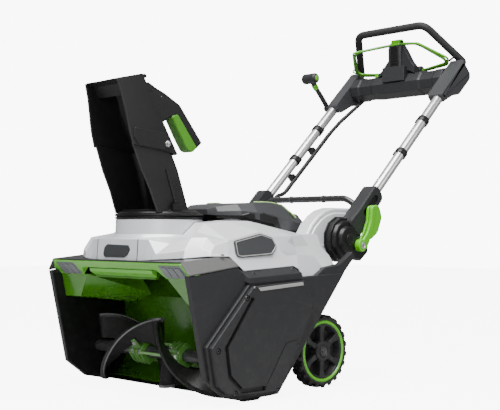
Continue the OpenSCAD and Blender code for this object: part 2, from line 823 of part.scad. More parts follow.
module grip_loop() {
    color("black") tube_along(grip_path, grip_r, 16);
}

conduit_x = -tube_x + 17;
conduit_drop = -32;
conduit_path = rounded([[-160, 566, 832], on_handle(conduit_x + 22, 596, conduit_drop - 4),
    on_handle(conduit_x + 3, 530, conduit_drop), on_handle(conduit_x, 236, conduit_drop),
    on_handle(conduit_x, 208, -16), on_handle(conduit_x, 187.5, -16)], 12, 3);

module conduit() {
    color("black") {
        tube_along(conduit_path, 6, 12);
        for (s = [300, 430]) along_handle(-tube_x) translate([0, 0, s]) difference() {
            translate([-4, tube_d / 2 - 3, 0]) cube([24, -conduit_drop - tube_d / 2 + 5, 12]);
            translate([0, 0, -1]) cylinder(h = 14, r = tube_d / 2);
        }
    }
}

cable_path = rounded([[t_lever_x, 452, 785], [t_lever_x + 5, 436, 766], [t_lever_x + 13, 415, 742],
    [t_lever_x + 14, 330, 660], [t_lever_x + 14, 250, 584], [t_lever_x + 14, 190, 527]], 8, 3);

module control_cable() {
    color("black") tube_along(cable_path, 2.5, 8);
}

// Start bail: one wire from boss to boss round the tower, with a clip at its middle
bail_half = rounded([[bail_x + 4, bail_y, bail_z], [bail_x + 24, bail_y, bail_z], [172, 573, 931], [186, 556, 948],
    [130, 477, 991], [60, 515, 1005], [0, 543, 1013]], 9, 3);
bail_loop = concat(bail_half, [for (i = [len(bail_half) - 2 : -1 : 0]) [-bail_half[i][0], bail_half[i][1],
    bail_half[i][2]]]);

module bail() {
    color("limegreen") {
        tube_along(bail_loop, bail_r, 10);
        both_sides() {
            bar_x(bail_x - 18, bail_x + 3, bail_y, bail_z, bail_r);
            bar_x(bail_x, bail_x + 7, bail_y, bail_z, bail_r + 1.5);
        }
        translate([-17, 534, 1006]) cube([34, 18, 16]);
    }
}

module start_button() {
    color("limegreen") translate(button_at) cylinder(h = 18, r = button_r);
}

// Chute lever: T-shaped knob on a shaft that tilts in a bearing block on the left tube
module chute_lever() {
    at = on_handle(t_lever_x, 630, 0);
    color("dimgray") translate(at) rotate([handle_angle, 0, 0]) {
        cylinder(h = 116, r = 6);
        translate([-30, -14, 112]) cube([60, 28, 28]);
        translate([0, 0, 36]) cylinder(h = 44, r = 11);
        rotate([90, 0, 0]) translate([0, 0, -14]) cylinder(h = 28, r = 13);
    }
}

auger_drum();
front_bezel();
left_side_plate();
right_side_plate();
belt_cover();
scraper_bar();
skid_shoes();
front_deck();
top_shroud();
rear_frame();
axle();
battery_bay();
battery_packs();
headlight_housings();
headlight_lenses();
chute_base_ring();
badges();
motor();
drive_belt();
idler_arm();
idler_wheel();
auger_bearings();
control_board();
cover_screws();
pivot_hubs();
chute_ring();
lower_chute();
deflector();
deflector_arm();
deflector_grip();
auger_shaft();
auger_paddles();
auger_brackets();
auger_bolts();
auger_pulley();
motor_pulley();
left_tyre();
left_rim();
left_rim_ring();
right_tyre();
right_rim();
right_rim_ring();
battery_lid();
lid_window();
left_bracket();
right_bracket();
crossbar();
left_tube();
right_tube();
tube_clips();
console();
console_caps();
grip_loop();
conduit();
control_cable();
left_cam_lever();
right_cam_lever();
bail();
start_button();
chute_lever();
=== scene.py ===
import math
import bpy
import bmesh
from bpy.props import FloatProperty, FloatVectorProperty, IntProperty, PointerProperty
from bpy.types import Operator, Panel, PropertyGroup
from mathutils import Matrix, Vector


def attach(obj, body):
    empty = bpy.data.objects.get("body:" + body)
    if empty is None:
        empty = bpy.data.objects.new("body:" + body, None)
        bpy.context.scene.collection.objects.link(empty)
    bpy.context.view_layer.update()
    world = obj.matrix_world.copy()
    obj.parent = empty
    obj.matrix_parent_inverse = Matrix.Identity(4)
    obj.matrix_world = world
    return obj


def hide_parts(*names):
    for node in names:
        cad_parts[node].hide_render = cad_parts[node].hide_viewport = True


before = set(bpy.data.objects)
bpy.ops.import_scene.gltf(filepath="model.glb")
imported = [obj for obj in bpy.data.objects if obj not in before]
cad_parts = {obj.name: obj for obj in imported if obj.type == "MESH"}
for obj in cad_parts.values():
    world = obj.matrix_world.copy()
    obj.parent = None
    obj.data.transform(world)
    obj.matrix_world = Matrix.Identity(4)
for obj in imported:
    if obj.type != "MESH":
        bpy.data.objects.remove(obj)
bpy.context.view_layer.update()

bl_info = {
    "name": "Snow Blower",
    "version": (1, 0, 0),
    "blender": (4, 5, 0),
    "location": "3D View > Sidebar > Snow Blower",
    "description": "Builds the finish and the fine shapes of a cordless snow blower on its packed frame",
    "category": "Object",
}

MM = 0.001
HALF_IN = 265.0
HALF_OUT = 280.0
COVER_X = 300.0
AUGER = (-433.0, 94.0)
PIVOT = (25.0, 384.0)
TUBE_X = 209.0
HANDLE_RISE = math.radians(43.8)
CHUTE_Y = -445.0
WHEEL = (-105.0, 95.0)
WELD_REACH = 0.02 * MM


class SnowBlowerFinish(PropertyGroup):
    shell: FloatVectorProperty(name="Shell", description="Silver grey of the body shell", subtype="COLOR",
                               size=3, default=(0.66, 0.67, 0.70), min=0, max=1)
    dark: FloatVectorProperty(name="Plates", description="Dark grey of the moulded plates", subtype="COLOR",
                              size=3, default=(0.020, 0.0205, 0.022), min=0, max=1)
    chute: FloatVectorProperty(name="Chute", description="Charcoal of the chute", subtype="COLOR",
                               size=3, default=(0.009, 0.009, 0.0095), min=0, max=1)
    green: FloatVectorProperty(name="Front frame", description="Bright green of the front frame",
                               subtype="COLOR",
                               size=3, default=(0.15, 0.52, 0.045), min=0, max=1)
    deep_green: FloatVectorProperty(name="Housing", description="Deep green inside the auger housing",
                                    subtype="COLOR", size=3, default=(0.050, 0.22, 0.002), min=0, max=1)
    lime: FloatVectorProperty(name="Controls", description="Lime green of levers and grips", subtype="COLOR",
                              size=3, default=(0.095, 0.44, 0.002), min=0, max=1)
    aluminium: FloatVectorProperty(name="Tubes", description="Silver of the handle tubes", subtype="COLOR",
                                   size=3, default=(0.80, 0.80, 0.81), min=0, max=1)
    edge: FloatProperty(name="Edge radius", description="Rounding of the moulded edges", subtype="DISTANCE",
                        default=0.0012, min=0.0002, max=0.004)
    grain: FloatProperty(name="Grain depth", description="Depth of the moulded grain", subtype="DISTANCE",
                         default=0.00012, min=0.0, max=0.001)
    lamps: FloatProperty(name="Lamp strength", description="Brightness of the headlights", default=1.1, min=0,
                         max=20)
    lugs: IntProperty(name="Tyre lugs", description="Lugs round each edge of a tyre", default=22, min=12,
                      max=30)


class SnowBlowerStage(PropertyGroup):
    key_power: FloatProperty(name="Key light", description="Power of the main light", subtype="POWER",
                             default=330.0, min=0, max=2000)
    fill_power: FloatProperty(name="Fill light", description="Power of the side light", subtype="POWER",
                              default=42.0, min=0, max=1000)
    sky: FloatProperty(name="Surroundings", description="Brightness of the surroundings", default=0.36, min=0,
                       max=4)
    lens: FloatProperty(name="Lens", description="Focal length", subtype="DISTANCE_CAMERA", unit="CAMERA",
                        default=74.7, min=10, max=300)


# ---- shader node groups ----

def new_group(name, inputs, outputs):
    tree = bpy.data.node_groups.new(name, "ShaderNodeTree")
    for label, kind, value in inputs:
        socket = tree.interface.new_socket(name=label, in_out="INPUT", socket_type=kind)
        if value is not None:
            socket.default_value = value
    for label, kind in outputs:
        tree.interface.new_socket(name=label, in_out="OUTPUT", socket_type=kind)
    return tree, tree.nodes.new("NodeGroupInput"), tree.nodes.new("NodeGroupOutput")


def math_node(tree, operation, a, b=None, c=None, clamp=False):
    node = tree.nodes.new("ShaderNodeMath")
    node.operation = operation
    node.use_clamp = clamp
    for socket, value in zip(node.inputs, (a, b, c)):
        if value is None:
            continue
        if isinstance(value, (int, float)):
            socket.default_value = value
        else:
            tree.links.new(value, socket)
    return node.outputs[0]


def noise(tree, vector, scale, detail=3.0, rough=0.55):
    node = tree.nodes.new("ShaderNodeTexNoise")
    node.inputs["Detail"].default_value = detail
    node.inputs["Roughness"].default_value = rough
    tree.links.new(vector, node.inputs["Vector"])
    if isinstance(scale, (int, float)):
        node.inputs["Scale"].default_value = scale
    else:
        tree.links.new(scale, node.inputs["Scale"])
    return node.outputs["Fac"]


def moulded_group():
    """Slow mottling for colour and gloss, and a fine grain for height."""
    tree, given, out = new_group(
        "moulded surface",
        [("Grain Scale", "NodeSocketFloat", 900.0), ("Mottle", "NodeSocketFloat", 0.1),
         ("Stretch", "NodeSocketVector", (1.0, 1.0, 1.0))],
        [("Shade", "NodeSocketFloat"), ("Gloss Shift", "NodeSocketFloat"), ("Height", "NodeSocketFloat")])
    place = tree.nodes.new("ShaderNodeTexCoord").outputs["Object"]
    stretched = tree.nodes.new("ShaderNodeVectorMath")
    stretched.operation = "MULTIPLY"
    tree.links.new(place, stretched.inputs[0])
    tree.links.new(given.outputs["Stretch"], stretched.inputs[1])
    broad = noise(tree, place, 14.0, 4.0)
    fine = noise(tree, stretched.outputs[0], given.outputs["Grain Scale"], 2.0, 0.6)
    middle = noise(tree, stretched.outputs[0], 120.0, 3.0)
    swing = math_node(tree, "MULTIPLY", math_node(tree, "SUBTRACT", broad, 0.5), given.outputs["Mottle"])
    speck = math_node(tree, "MULTIPLY", math_node(tree, "SUBTRACT", fine, 0.5), given.outputs["Mottle"])
    tree.links.new(math_node(tree, "ADD", math_node(tree, "ADD", swing, speck), 1.0), out.inputs["Shade"])
    both = math_node(tree, "ADD", math_node(tree, "MULTIPLY", broad, 0.6),
                     math_node(tree, "MULTIPLY", middle, 0.4))
    tree.links.new(math_node(tree, "SUBTRACT", both, 0.5), out.inputs["Gloss Shift"])
    tree.links.new(math_node(tree, "ADD", math_node(tree, "MULTIPLY", fine, 0.75),
                             math_node(tree, "MULTIPLY", middle, 0.25)), out.inputs["Height"])
    return tree


def wear_group():
    """A mask along outer edges, broken up by noise."""
    tree, given, out = new_group(
        "edge wear", [("Amount", "NodeSocketFloat", 0.5), ("Breakup", "NodeSocketFloat", 90.0)],
        [("Mask", "NodeSocketFloat")])
    point = tree.nodes.new("ShaderNodeNewGeometry").outputs["Pointiness"]
    edge = tree.nodes.new("ShaderNodeMapRange")
    edge.inputs["From Min"].default_value = 0.515
    edge.inputs["From Max"].default_value = 0.60
    tree.links.new(point, edge.inputs["Value"])
    place = tree.nodes.new("ShaderNodeTexCoord").outputs["Object"]
    broken = noise(tree, place, given.outputs["Breakup"], 4.0, 0.65)
    part = math_node(tree, "MULTIPLY", broken, edge.outputs["Result"])
    tree.links.new(math_node(tree, "MULTIPLY", part, given.outputs["Amount"], clamp=True), out.inputs["Mask"])
    return tree


def dust_group():
    """A mask for the dust and dried splashes that settle low down."""
    tree, given, out = new_group(
        "settled dust", [("Amount", "NodeSocketFloat", 0.2), ("Reach", "NodeSocketFloat", 0.35)],
        [("Mask", "NodeSocketFloat")])
    coords = tree.nodes.new("ShaderNodeTexCoord")
    split = tree.nodes.new("ShaderNodeSeparateXYZ")
    tree.links.new(coords.outputs["Object"], split.inputs[0])
    low = tree.nodes.new("ShaderNodeMapRange")
    tree.links.new(split.outputs["Z"], low.inputs["Value"])
    tree.links.new(given.outputs["Reach"], low.inputs["From Max"])
    low.inputs["From Min"].default_value = 0.0
    low.inputs["To Min"].default_value = 1.0
    low.inputs["To Max"].default_value = 0.15
    spots = noise(tree, coords.outputs["Object"], 55.0, 6.0, 0.7)
    sharp = tree.nodes.new("ShaderNodeMapRange")
    sharp.inputs["From Min"].default_value = 0.48
    sharp.inputs["From Max"].default_value = 0.72
    tree.links.new(spots, sharp.inputs["Value"])
    mask = math_node(tree, "MULTIPLY", sharp.outputs["Result"], low.outputs["Result"])
    tree.links.new(math_node(tree, "MULTIPLY", mask, given.outputs["Amount"], clamp=True), out.inputs["Mask"])
    return tree


GROUPS = {}
MATERIALS = {}


def group_node(tree, name, **values):
    node = tree.nodes.new("ShaderNodeGroup")
    node.node_tree = GROUPS[name]
    for label, value in values.items():
        node.inputs[label.replace("_", " ")].default_value = value
    return node


def mix_colour(tree, factor, a, b, mode="MIX"):
    node = tree.nodes.new("ShaderNodeMix")
    node.data_type = "RGBA"
    node.blend_type = mode
    for index, value in ((0, factor), (6, a), (7, b)):
        if isinstance(value, (int, float)):
            node.inputs[index].default_value = value
        elif isinstance(value, (tuple, list)):
            node.inputs[index].default_value = (*value[:3], 1.0)
        else:
            tree.links.new(value, node.inputs[index])
    return node.outputs[2]


def finish(name, colour, rough, metal=0.0, mottle=0.12, grain=900.0, depth=0.00012, stretch=(1, 1, 1),
           wear=0.25,
           wear_and_shade=None, dust=0.12, gloss_swing=0.18, coat=0.0, flake=0.0, glow=0.0):
    """A Principled material whose colour, gloss and height vary over the surface."""
    made = bpy.data.materials.new(name)
    made.use_nodes = True
    tree = made.node_tree
    shader = tree.nodes["Principled BSDF"]
    base = group_node(tree, "moulded surface", Grain_Scale=grain, Mottle=mottle, Stretch=stretch)
    tint = tree.nodes.new("ShaderNodeCombineColor")
    for socket in tint.inputs:
        tree.links.new(base.outputs["Shade"], socket)
    out = mix_colour(tree, 1.0, tuple(colour), tint.outputs[0], "MULTIPLY")
    if flake:
        cells = tree.nodes.new("ShaderNodeTexVoronoi")
        cells.inputs["Scale"].default_value = 2600.0
        tree.links.new(tree.nodes.new("ShaderNodeTexCoord").outputs["Object"], cells.inputs["Vector"])
        spark = math_node(tree, "MULTIPLY", cells.outputs["Distance"], flake)
        out = mix_colour(tree, spark, out, tuple(min(1.0, c * 1.5) for c in colour))
    if wear:
        edge = group_node(tree, "edge wear", Amount=wear)
        light = wear_and_shade or tuple(min(1.0, c * 1.6 + 0.05) for c in colour)
        out = mix_colour(tree, edge.outputs["Mask"], out, light)
    if dust:
        settled = group_node(tree, "settled dust", Amount=dust)
        out = mix_colour(tree, settled.outputs["Mask"], out, (0.42, 0.40, 0.37))
    tree.links.new(out, shader.inputs["Base Color"])
    swing = math_node(tree, "MULTIPLY_ADD", base.outputs["Gloss Shift"], gloss_swing, rough, clamp=True)
    tree.links.new(swing, shader.inputs["Roughness"])
    shader.inputs["Metallic"].default_value = metal
    shader.inputs["Specular IOR Level"].default_value = 0.28 if max(colour) < 0.05 else 0.5
    if coat:
        shader.inputs["Coat Weight"].default_value = coat
        shader.inputs["Coat Roughness"].default_value = 0.12
    bump = tree.nodes.new("ShaderNodeBump")
    bump.inputs["Strength"].default_value = 0.6
    bump.inputs["Distance"].default_value = max(depth, 1e-6)
    tree.links.new(base.outputs["Height"], bump.inputs["Height"])
    tree.links.new(bump.outputs["Normal"], shader.inputs["Normal"])
    if glow:
        tree.links.new(out, shader.inputs["Emission Color"])
        shader.inputs["Emission Strength"].default_value = glow
    MATERIALS[name] = made
    return made


def make_materials(look):
    GROUPS["moulded surface"] = moulded_group()
    GROUPS["edge wear"] = wear_group()
    GROUPS["settled dust"] = dust_group()
    g = look.grain
    finish("shell silver", look.shell, 0.36, metal=0.25, mottle=0.05, grain=1400, depth=g * 0.3, wear=0.15,
           dust=0.05, coat=0.25, flake=0.25)
    finish("plate grey", look.dark, 0.42, mottle=0.10, grain=1300, depth=g, wear=0.10, dust=0.03)
    finish("deck grey", (0.085, 0.084, 0.082), 0.4, mottle=0.06, grain=1100, depth=g * 0.6, wear=0.1,
           dust=0.02)
    finish("lid grey", tuple(c * 1.9 for c in look.dark), 0.36, mottle=0.08, grain=1100, depth=g, wear=0.12,
           dust=0.03)
    finish("trim silver", (0.36, 0.36, 0.35), 0.4, metal=0.3, mottle=0.08, depth=g * 0.4, dust=0.05)
    finish("plain black", (0.006, 0.006, 0.006), 0.36, mottle=0.2, depth=g, wear=0.08, dust=0.03)
    finish("chute charcoal", look.chute, 0.44, mottle=0.12, grain=1000, depth=g, wear=0.08, dust=0.02)
    # Lighter charcoal for thin strips on the chute's front edges: painted highlight
    finish("chute edge painted highlight", (0.028, 0.028, 0.029), 0.4, mottle=0.1, grain=1000, depth=g, wear=0.1, dust=0.02)
    finish("front green", look.green, 0.34, mottle=0.05, depth=g * 0.5, wear=0.08, dust=0.02, coat=0.3)
    finish("housing green", look.deep_green, 0.26, mottle=0.05, depth=g * 0.2, wear=0.0, dust=0.0, coat=0.5)
    finish("bracket green", tuple(c * 1.2 for c in look.deep_green), 0.3, mottle=0.12, depth=g * 0.4,
           wear=0.5,
           wear_and_shade=(0.5, 0.5, 0.5), coat=0.4)
    finish("lime", look.lime, 0.33, mottle=0.08, depth=g * 0.5, wear=0.2, dust=0.03, coat=0.2)
    finish("wire green", tuple(c * 0.6 for c in look.lime), 0.3, mottle=0.08, depth=g * 0.3, wear=0.3,
           coat=0.4)
    finish("grip green", tuple(c * 0.55 for c in look.lime), 0.5, mottle=0.12, depth=g, wear=0.2, dust=0.03)
    finish("tube silver", look.aluminium, 0.26, metal=0.9, mottle=0.04, grain=160, depth=g * 0.06,
           stretch=(5, 1, 1), wear=0.05, dust=0.0, gloss_swing=0.2)
    finish("zinc steel", (0.55, 0.55, 0.56), 0.32, metal=1.0, mottle=0.15, grain=500, depth=g * 0.4, wear=0.3,
           dust=0.1)
    finish("cast metal", (0.42, 0.43, 0.45), 0.5, metal=0.9, mottle=0.2, grain=700, depth=g, dust=0.15)
    finish("black steel", (0.018, 0.018, 0.019), 0.3, metal=0.2, mottle=0.2, depth=g * 0.6, wear=0.6,
           wear_and_shade=(0.25, 0.25, 0.26), coat=0.3)
    finish("tyre rubber", (0.014, 0.014, 0.014), 0.58, mottle=0.2, grain=500, depth=g * 2.5, wear=0.15,
           wear_and_shade=(0.07, 0.07, 0.068), dust=0.10)
    finish("paddle rubber", (0.008, 0.008, 0.008), 0.38, mottle=0.2, grain=420, depth=g * 2.0, wear=0.05,
           dust=0.04)
    finish("paddle edge", (0.16, 0.16, 0.16), 0.6, mottle=0.3, grain=600, depth=g * 2.0, wear=0.2, dust=0.1)
    finish("foam grip", (0.017, 0.017, 0.018), 0.68, mottle=0.3, grain=520, depth=g * 3.0, wear=0.15,
           dust=0.05)
    finish("cable sheath", (0.014, 0.014, 0.014), 0.45, mottle=0.2, depth=g, dust=0.05)
    finish("lamp grey", (0.20, 0.21, 0.22), 0.35, metal=0.3, mottle=0.1, depth=g * 0.5, dust=0.03)
    finish("lamp light", (1.0, 1.0, 1.0), 0.2, mottle=0.04, depth=g * 0.2, wear=0, dust=0, glow=look.lamps)
    finish("badge dark", (0.035, 0.037, 0.04), 0.3, mottle=0.1, depth=g * 0.3, wear=0.2, dust=0.03, coat=0.3)
    finish("pale window", (0.42, 0.68, 0.22), 0.25, mottle=0.08, depth=g * 0.2, wear=0.1, dust=0.03, coat=0.5)
    finish("battery grey", (0.06, 0.06, 0.065), 0.45, mottle=0.2, depth=g, dust=0.1)
    finish("rim grey", (0.016, 0.016, 0.017), 0.4, mottle=0.15, depth=g, wear=0.12, dust=0.06)




# ---- shape tools, all in millimetres ----

def on_handle(x, s, n):
    """A point s along a handle tube and n above it."""
    c, k = math.cos(HANDLE_RISE), math.sin(HANDLE_RISE)
    return (x, PIVOT[0] + s * c - n * k, PIVOT[1] + s * k + n * c)


def handle_place(u, v, w):
    """A point u across, v above the tube and w along it."""
    return on_handle(u, w, v)


def offset(outline, inset):
    """A closed outline moved inwards; a negative inset moves it outwards."""
    n = len(outline)
    area = sum(a[0] * b[1] - b[0] * a[1] for a, b in zip(outline, outline[1:] + outline[:1]))
    turn = 1.0 if area > 0 else -1.0
    moved = []
    for i in range(n):
        a, b, c = (Vector(outline[k % n]) for k in (i - 1, i, i + 1))
        d, e = (b - a).normalized(), (c - b).normalized()
        p, q = Vector((-d.y, d.x)) * turn, Vector((-e.y, e.x)) * turn
        mid = p + q
        moved.append(tuple(b + mid * (inset / max(0.3, mid.dot(p)))))
    return moved


def round_off(points, reach, steps=3, closed=True):
    """Corners of an outline or path replaced by short curves."""
    out, n = [], len(points)
    for i, p in enumerate(points):
        if not closed and i in (0, n - 1):
            out.append(tuple(p))
            continue
        p, a, b = Vector(p), Vector(points[i - 1]), Vector(points[(i + 1) % n])
        cut = min(reach, (a - p).length * 0.45, (b - p).length * 0.45)
        s, e = p + (a - p).normalized() * cut, p + (b - p).normalized() * cut
        for k in range(steps + 1):
            t = k / steps
            out.append(tuple(s * (1 - t) ** 2 + p * 2 * t * (1 - t) + e * t * t))
    return out


def strip(path, width):
    """The outline of a band of even width along a flat path."""
    left, right = [], []
    for i, p in enumerate(path):
        a = Vector(path[max(i - 1, 0)])
        b = Vector(path[min(i + 1, len(path) - 1)])
        p = Vector(p)
        d, e = (p - a), (b - p)
        d = (d if d.length else e).normalized()
        e = (e if e.length else d).normalized()
        m = (Vector((-d.y, d.x)) + Vector((-e.y, e.x)))
        m = m * (width / 2 / max(0.4, m.dot(Vector((-d.y, d.x)))))
        left.append(tuple(p + m))
        right.append(tuple(p - m))
    return left + right[::-1]


class Shape:
    """Vertices and faces gathered into one piece."""

    def __init__(self):
        self.points, self.faces, self.marks = [], [], []
        self.mark = 0

    def add(self, points, faces):
        start = len(self.points)
        self.points += [tuple(p) for p in points]
        self.faces += [tuple(start + i for i in f) for f in faces]
        self.marks += [self.mark] * len(faces)
        return self

    def loft(self, sections, caps=True, closed=True):
        n = len(sections[0])
        faces = []
        for k in range(len(sections) - 1):
            for i in range(n if closed else n - 1):
                j = (i + 1) % n
                faces.append((k * n + i, k * n + j, (k + 1) * n + j, (k + 1) * n + i))
        if caps:
            faces.append(tuple(range(n - 1, -1, -1)))
            faces.append(tuple((len(sections) - 1) * n + i for i in range(n)))
        return self.add([p for s in sections for p in s], faces)

    def prism(self, outline, w0, w1, place=None):
        """An outline carried from w0 to w1."""
        place = place or (lambda u, v, w: (w, u, v))
        return self.loft([[place(u, v, w) for u, v in outline] for w in (w0, w1)])

    def pad(self, outline, w0, w1, edge, place=None):
        """A prism whose far face has a chamfer of the given width."""
        place = place or (lambda u, v, w: (w, u, v))
        side = math.copysign(edge, w1 - w0)
        inner = offset(outline, edge)
        return self.loft([[place(u, v, w0) for u, v in outline], [place(u, v, w1 - side) for u, v in outline],
                          [place(u, v, w1) for u, v in inner]])

    def box(self, lo, hi):
        (a, b, c), (d, e, f) = lo, hi
        return self.prism([(a, b), (d, b), (d, e), (a, e)], c, f, lambda u, v, w: (u, v, w))

    def turned(self, profile, centre, axis, count=48):
        """A profile of (radius, distance along the axis) turned once about it."""
        axis = Vector(axis).normalized()
        side = axis.orthogonal().normalized()
        up = axis.cross(side)
        rings = []
        for k in range(count):
            a = math.radians(360.0 * k / count)
            d = side * math.cos(a) + up * math.sin(a)
            rings.append([tuple(Vector(centre) + d * r + axis * h) for r, h in profile])
        rings.append(rings[0])
        return self.loft(rings, caps=False, closed=False)

    def rod(self, centre, axis, profile, count=32):
        """A turned solid closed by its two flat ends."""
        first, last = profile[0], profile[-1]
        return self.turned([(0.0, first[1]), *profile, (0.0, last[1])], centre, axis, count)

    def tube(self, path, radius, sides=16):
        """A round bar along a path. The radius may be a list."""
        pts = [Vector(p) for p in path]
        n = len(pts)
        dirs = [(pts[min(i + 1, n - 1)] - pts[max(i - 1, 0)]).normalized() for i in range(n)]
        side = dirs[0].cross(Vector((1, 0, 0.01)) if abs(dirs[0].x) < 0.9 else Vector((0, 1,
                                                                                       0.01))).normalized()
        rings = []
        for i, (p, d) in enumerate(zip(pts, dirs)):
            side = (side - d * side.dot(d)).normalized()
            up = d.cross(side)
            r = radius[i] if isinstance(radius, (list, tuple)) else radius
            rings.append([tuple(p + side * math.cos(2 * math.pi * k / sides) * r
                                + up * math.sin(2 * math.pi * k / sides) * r) for k in range(sides)])
        return self.loft(rings)

    def mirrored(self):
        """Adds the mirror image across the middle."""
        count = len(self.points)
        marks = list(self.marks)
        self.points += [(-x, y, z) for x, y, z in self.points]
        self.faces += [tuple(count + i for i in reversed(f)) for f in self.faces]
        self.marks += marks
        return self

    def flipped(self):
        """Moves the whole piece to the other side."""
        self.points = [(-x, y, z) for x, y, z in self.points]
        self.faces = [tuple(reversed(f)) for f in self.faces]
        return self

    def make(self, name, body, slot, material, replaces=(), edge=None, sharp=32, thick=0.0, cutters=()):
        """Turns the shape into an object on a body, with its materials, in place of CAD nodes. The slot
        argument is not used.
        """
        look = bpy.context.scene.snow_blower_finish
        mesh = bpy.data.meshes.new(name)
        mesh.from_pydata([Vector(p) * MM for p in self.points], [], self.faces)
        mesh.polygons.foreach_set("material_index", self.marks)
        bm = bmesh.new()
        bm.from_mesh(mesh)
        bmesh.ops.remove_doubles(bm, verts=bm.verts, dist=WELD_REACH)
        bmesh.ops.recalc_face_normals(bm, faces=bm.faces)
        bm.to_mesh(mesh)
        bm.free()
        piece = bpy.data.objects.new(name, mesh)
        bpy.context.scene.collection.objects.link(piece)
        for label in ([material] if isinstance(material, str) else material):
            mesh.materials.append(MATERIALS[label])
        mesh.polygons.foreach_set("use_smooth", [True] * len(mesh.polygons))
        if thick:
            shell = piece.modifiers.new("thickness", "SOLIDIFY")
            shell.thickness = thick * MM
            shell.offset = -1.0
            shell.use_even_offset = True
        width = look.edge if edge is None else edge * MM
        if width > 0:
            bevel = piece.modifiers.new("edges", "BEVEL")
            bevel.width = width
            bevel.segments = 2
            bevel.limit_method = "ANGLE"
            bevel.angle_limit = math.radians(sharp)
            bevel.use_clamp_overlap = True
            bevel.harden_normals = True
        else:
            mesh.set_sharp_from_angle(angle=math.radians(sharp))
        for cutter in cutters:
            carve(piece, cutter)
        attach(piece, body)
        if replaces:
            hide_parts(*replaces)
        return piece


def carve(piece, cutter):
    """Takes another shape's solid out of this piece's mesh, before its edges are rounded."""
    mesh = bpy.data.meshes.new("cutter")
    mesh.from_pydata([Vector(p) * MM for p in cutter.points], [], cutter.faces)
    bm = bmesh.new()
    bm.from_mesh(mesh)
    bmesh.ops.recalc_face_normals(bm, faces=bm.faces)
    bm.to_mesh(mesh)
    bm.free()
    tool = bpy.data.objects.new("cutter", mesh)
    bpy.context.scene.collection.objects.link(tool)
    kept = [(m.name, m.show_viewport) for m in piece.modifiers]
    for m in piece.modifiers:
        m.show_viewport = False
    cut = piece.modifiers.new("cut", "BOOLEAN")
    cut.operation = "DIFFERENCE"
    cut.solver = "EXACT"
    cut.object = tool
    graph = bpy.context.evaluated_depsgraph_get()
    graph.update()
    made = bpy.data.meshes.new_from_object(piece.evaluated_get(graph))
    piece.modifiers.remove(cut)
    old = piece.data
    piece.data = made
    made.polygons.foreach_set("use_smooth", [True] * len(made.polygons))
    for name, shown in kept:
        piece.modifiers[name].show_viewport = shown
    bpy.data.objects.remove(tool)
    bpy.data.meshes.remove(mesh)
    bpy.data.meshes.remove(old)


def dress(node, material, edge=None, sharp=32):
    """Gives a frame node its material and softly rounded edges."""
    look = bpy.context.scene.snow_blower_finish
    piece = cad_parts[node]
    piece.data.materials.clear()
    piece.data.materials.append(MATERIALS[material])
    piece.data.polygons.foreach_set("use_smooth", [True] * len(piece.data.polygons))
    weld = piece.modifiers.new("weld", "WELD")
    weld.merge_threshold = WELD_REACH
    bevel = piece.modifiers.new("edges", "BEVEL")
    bevel.width = look.edge * 0.6 if edge is None else edge * MM
    bevel.segments = 2
    bevel.limit_method = "ANGLE"
    bevel.angle_limit = math.radians(sharp)
    bevel.harden_normals = True
    return piece


def screw(shape, centre, axis, radius=4.5, depth=2.0):
    """A pan head with a six-lobed socket."""
    shape.rod(centre, axis, [(radius, 0.0), (radius, depth * 0.5), (radius * 0.82, depth),
                             (radius * 0.5, depth), (radius * 0.42, depth * 0.3)], 18)
    return shape


def hex_bolt(shape, centre, axis, radius=6.0, depth=4.5):
    shape.rod(centre, axis, [(radius * 1.35, 0.0), (radius * 1.35, 0.8), (radius, 0.8), (radius, depth - 0.6),
                             (radius * 0.8, depth)], 6)
    return shape




# ---- auger housing ----

PLATE = [(-590, 299), (-434, 318), (-405, 281), (-47, 298), (-296, 7), (-330, 5), (-430, 5), (-473, 14),
         (-535, 59)]
COVER = [(-406, 279), (-544, 138), (-524, 45), (-490, 20), (-400, 12), (-306, 12), (-178, 219), (-220, 289)]
COVER_SCREWS = [(-423, 246), (-515, 128), (-461, 27), (-318, 19), (-244, 126), (-190, 214)]


def side_plates():
    bore = Shape().rod((HALF_IN - 4, *AUGER), (1, 0, 0), [(26, 0), (26, 24)])
    hole = Shape().rod((HALF_IN - 4, -272, 208), (1, 0, 0), [(10, 0), (10, 24)])
    Shape().pad(PLATE, HALF_IN, HALF_OUT, 2.0).make(
        "side_plate_right", "housing", "dark_grey", "plate grey", ["right_side_plate"], edge=0.8,
        cutters=[bore, hole])
    left = Shape().pad(PLATE, HALF_IN, HALF_OUT, 2.0).flipped()
    bore_l = Shape().rod((HALF_IN - 4, *AUGER), (1, 0, 0), [(26, 0), (26, 18)]).flipped()
    left.make("side_plate_left", "housing", "dark_grey", "plate grey", ["left_side_plate"], edge=0.8,
              cutters=[bore_l])
    cap = Shape()
    cap.pad([(-470, 60), (-450, 40), (-416, 40), (-396, 60), (-396, 128), (-416, 148), (-450, 148),
             (-470, 128)],
            -HALF_OUT, -HALF_OUT - 9, 3.0)
    cap.pad([(-456, 70), (-410, 70), (-410, 118), (-456, 118)], -HALF_OUT - 8, -HALF_OUT - 10, 1.2)
    cap.pad(strip([(-560, 262), (-500, 120), (-480, 70), (-462, 34), (-330, 30)], 5), -HALF_OUT + 0.5,
            -HALF_OUT - 2, 1.0)
    cap.pad(strip([(-120, 262), (-300, 60)], 5), -HALF_OUT + 0.5, -HALF_OUT - 2, 1.0)
    cap.make("side_cap_left", "housing", "dark_grey", "plate grey")
    # Black sheet inside each end of the mouth: painted shade darkening the inner faces of the side plates
    wear_and_shade = Shape()
    wear_and_shade.prism([(-586, 294), (-536, 64), (-474, 18), (-350, 10), (-350, 200), (-470, 290)],
               HALF_IN - 1.6, HALF_IN + 0.2)
    wear_and_shade.mirrored().make("mouth_painted_shade_plates", "housing", "black_plastic", "plain black", edge=0.3)


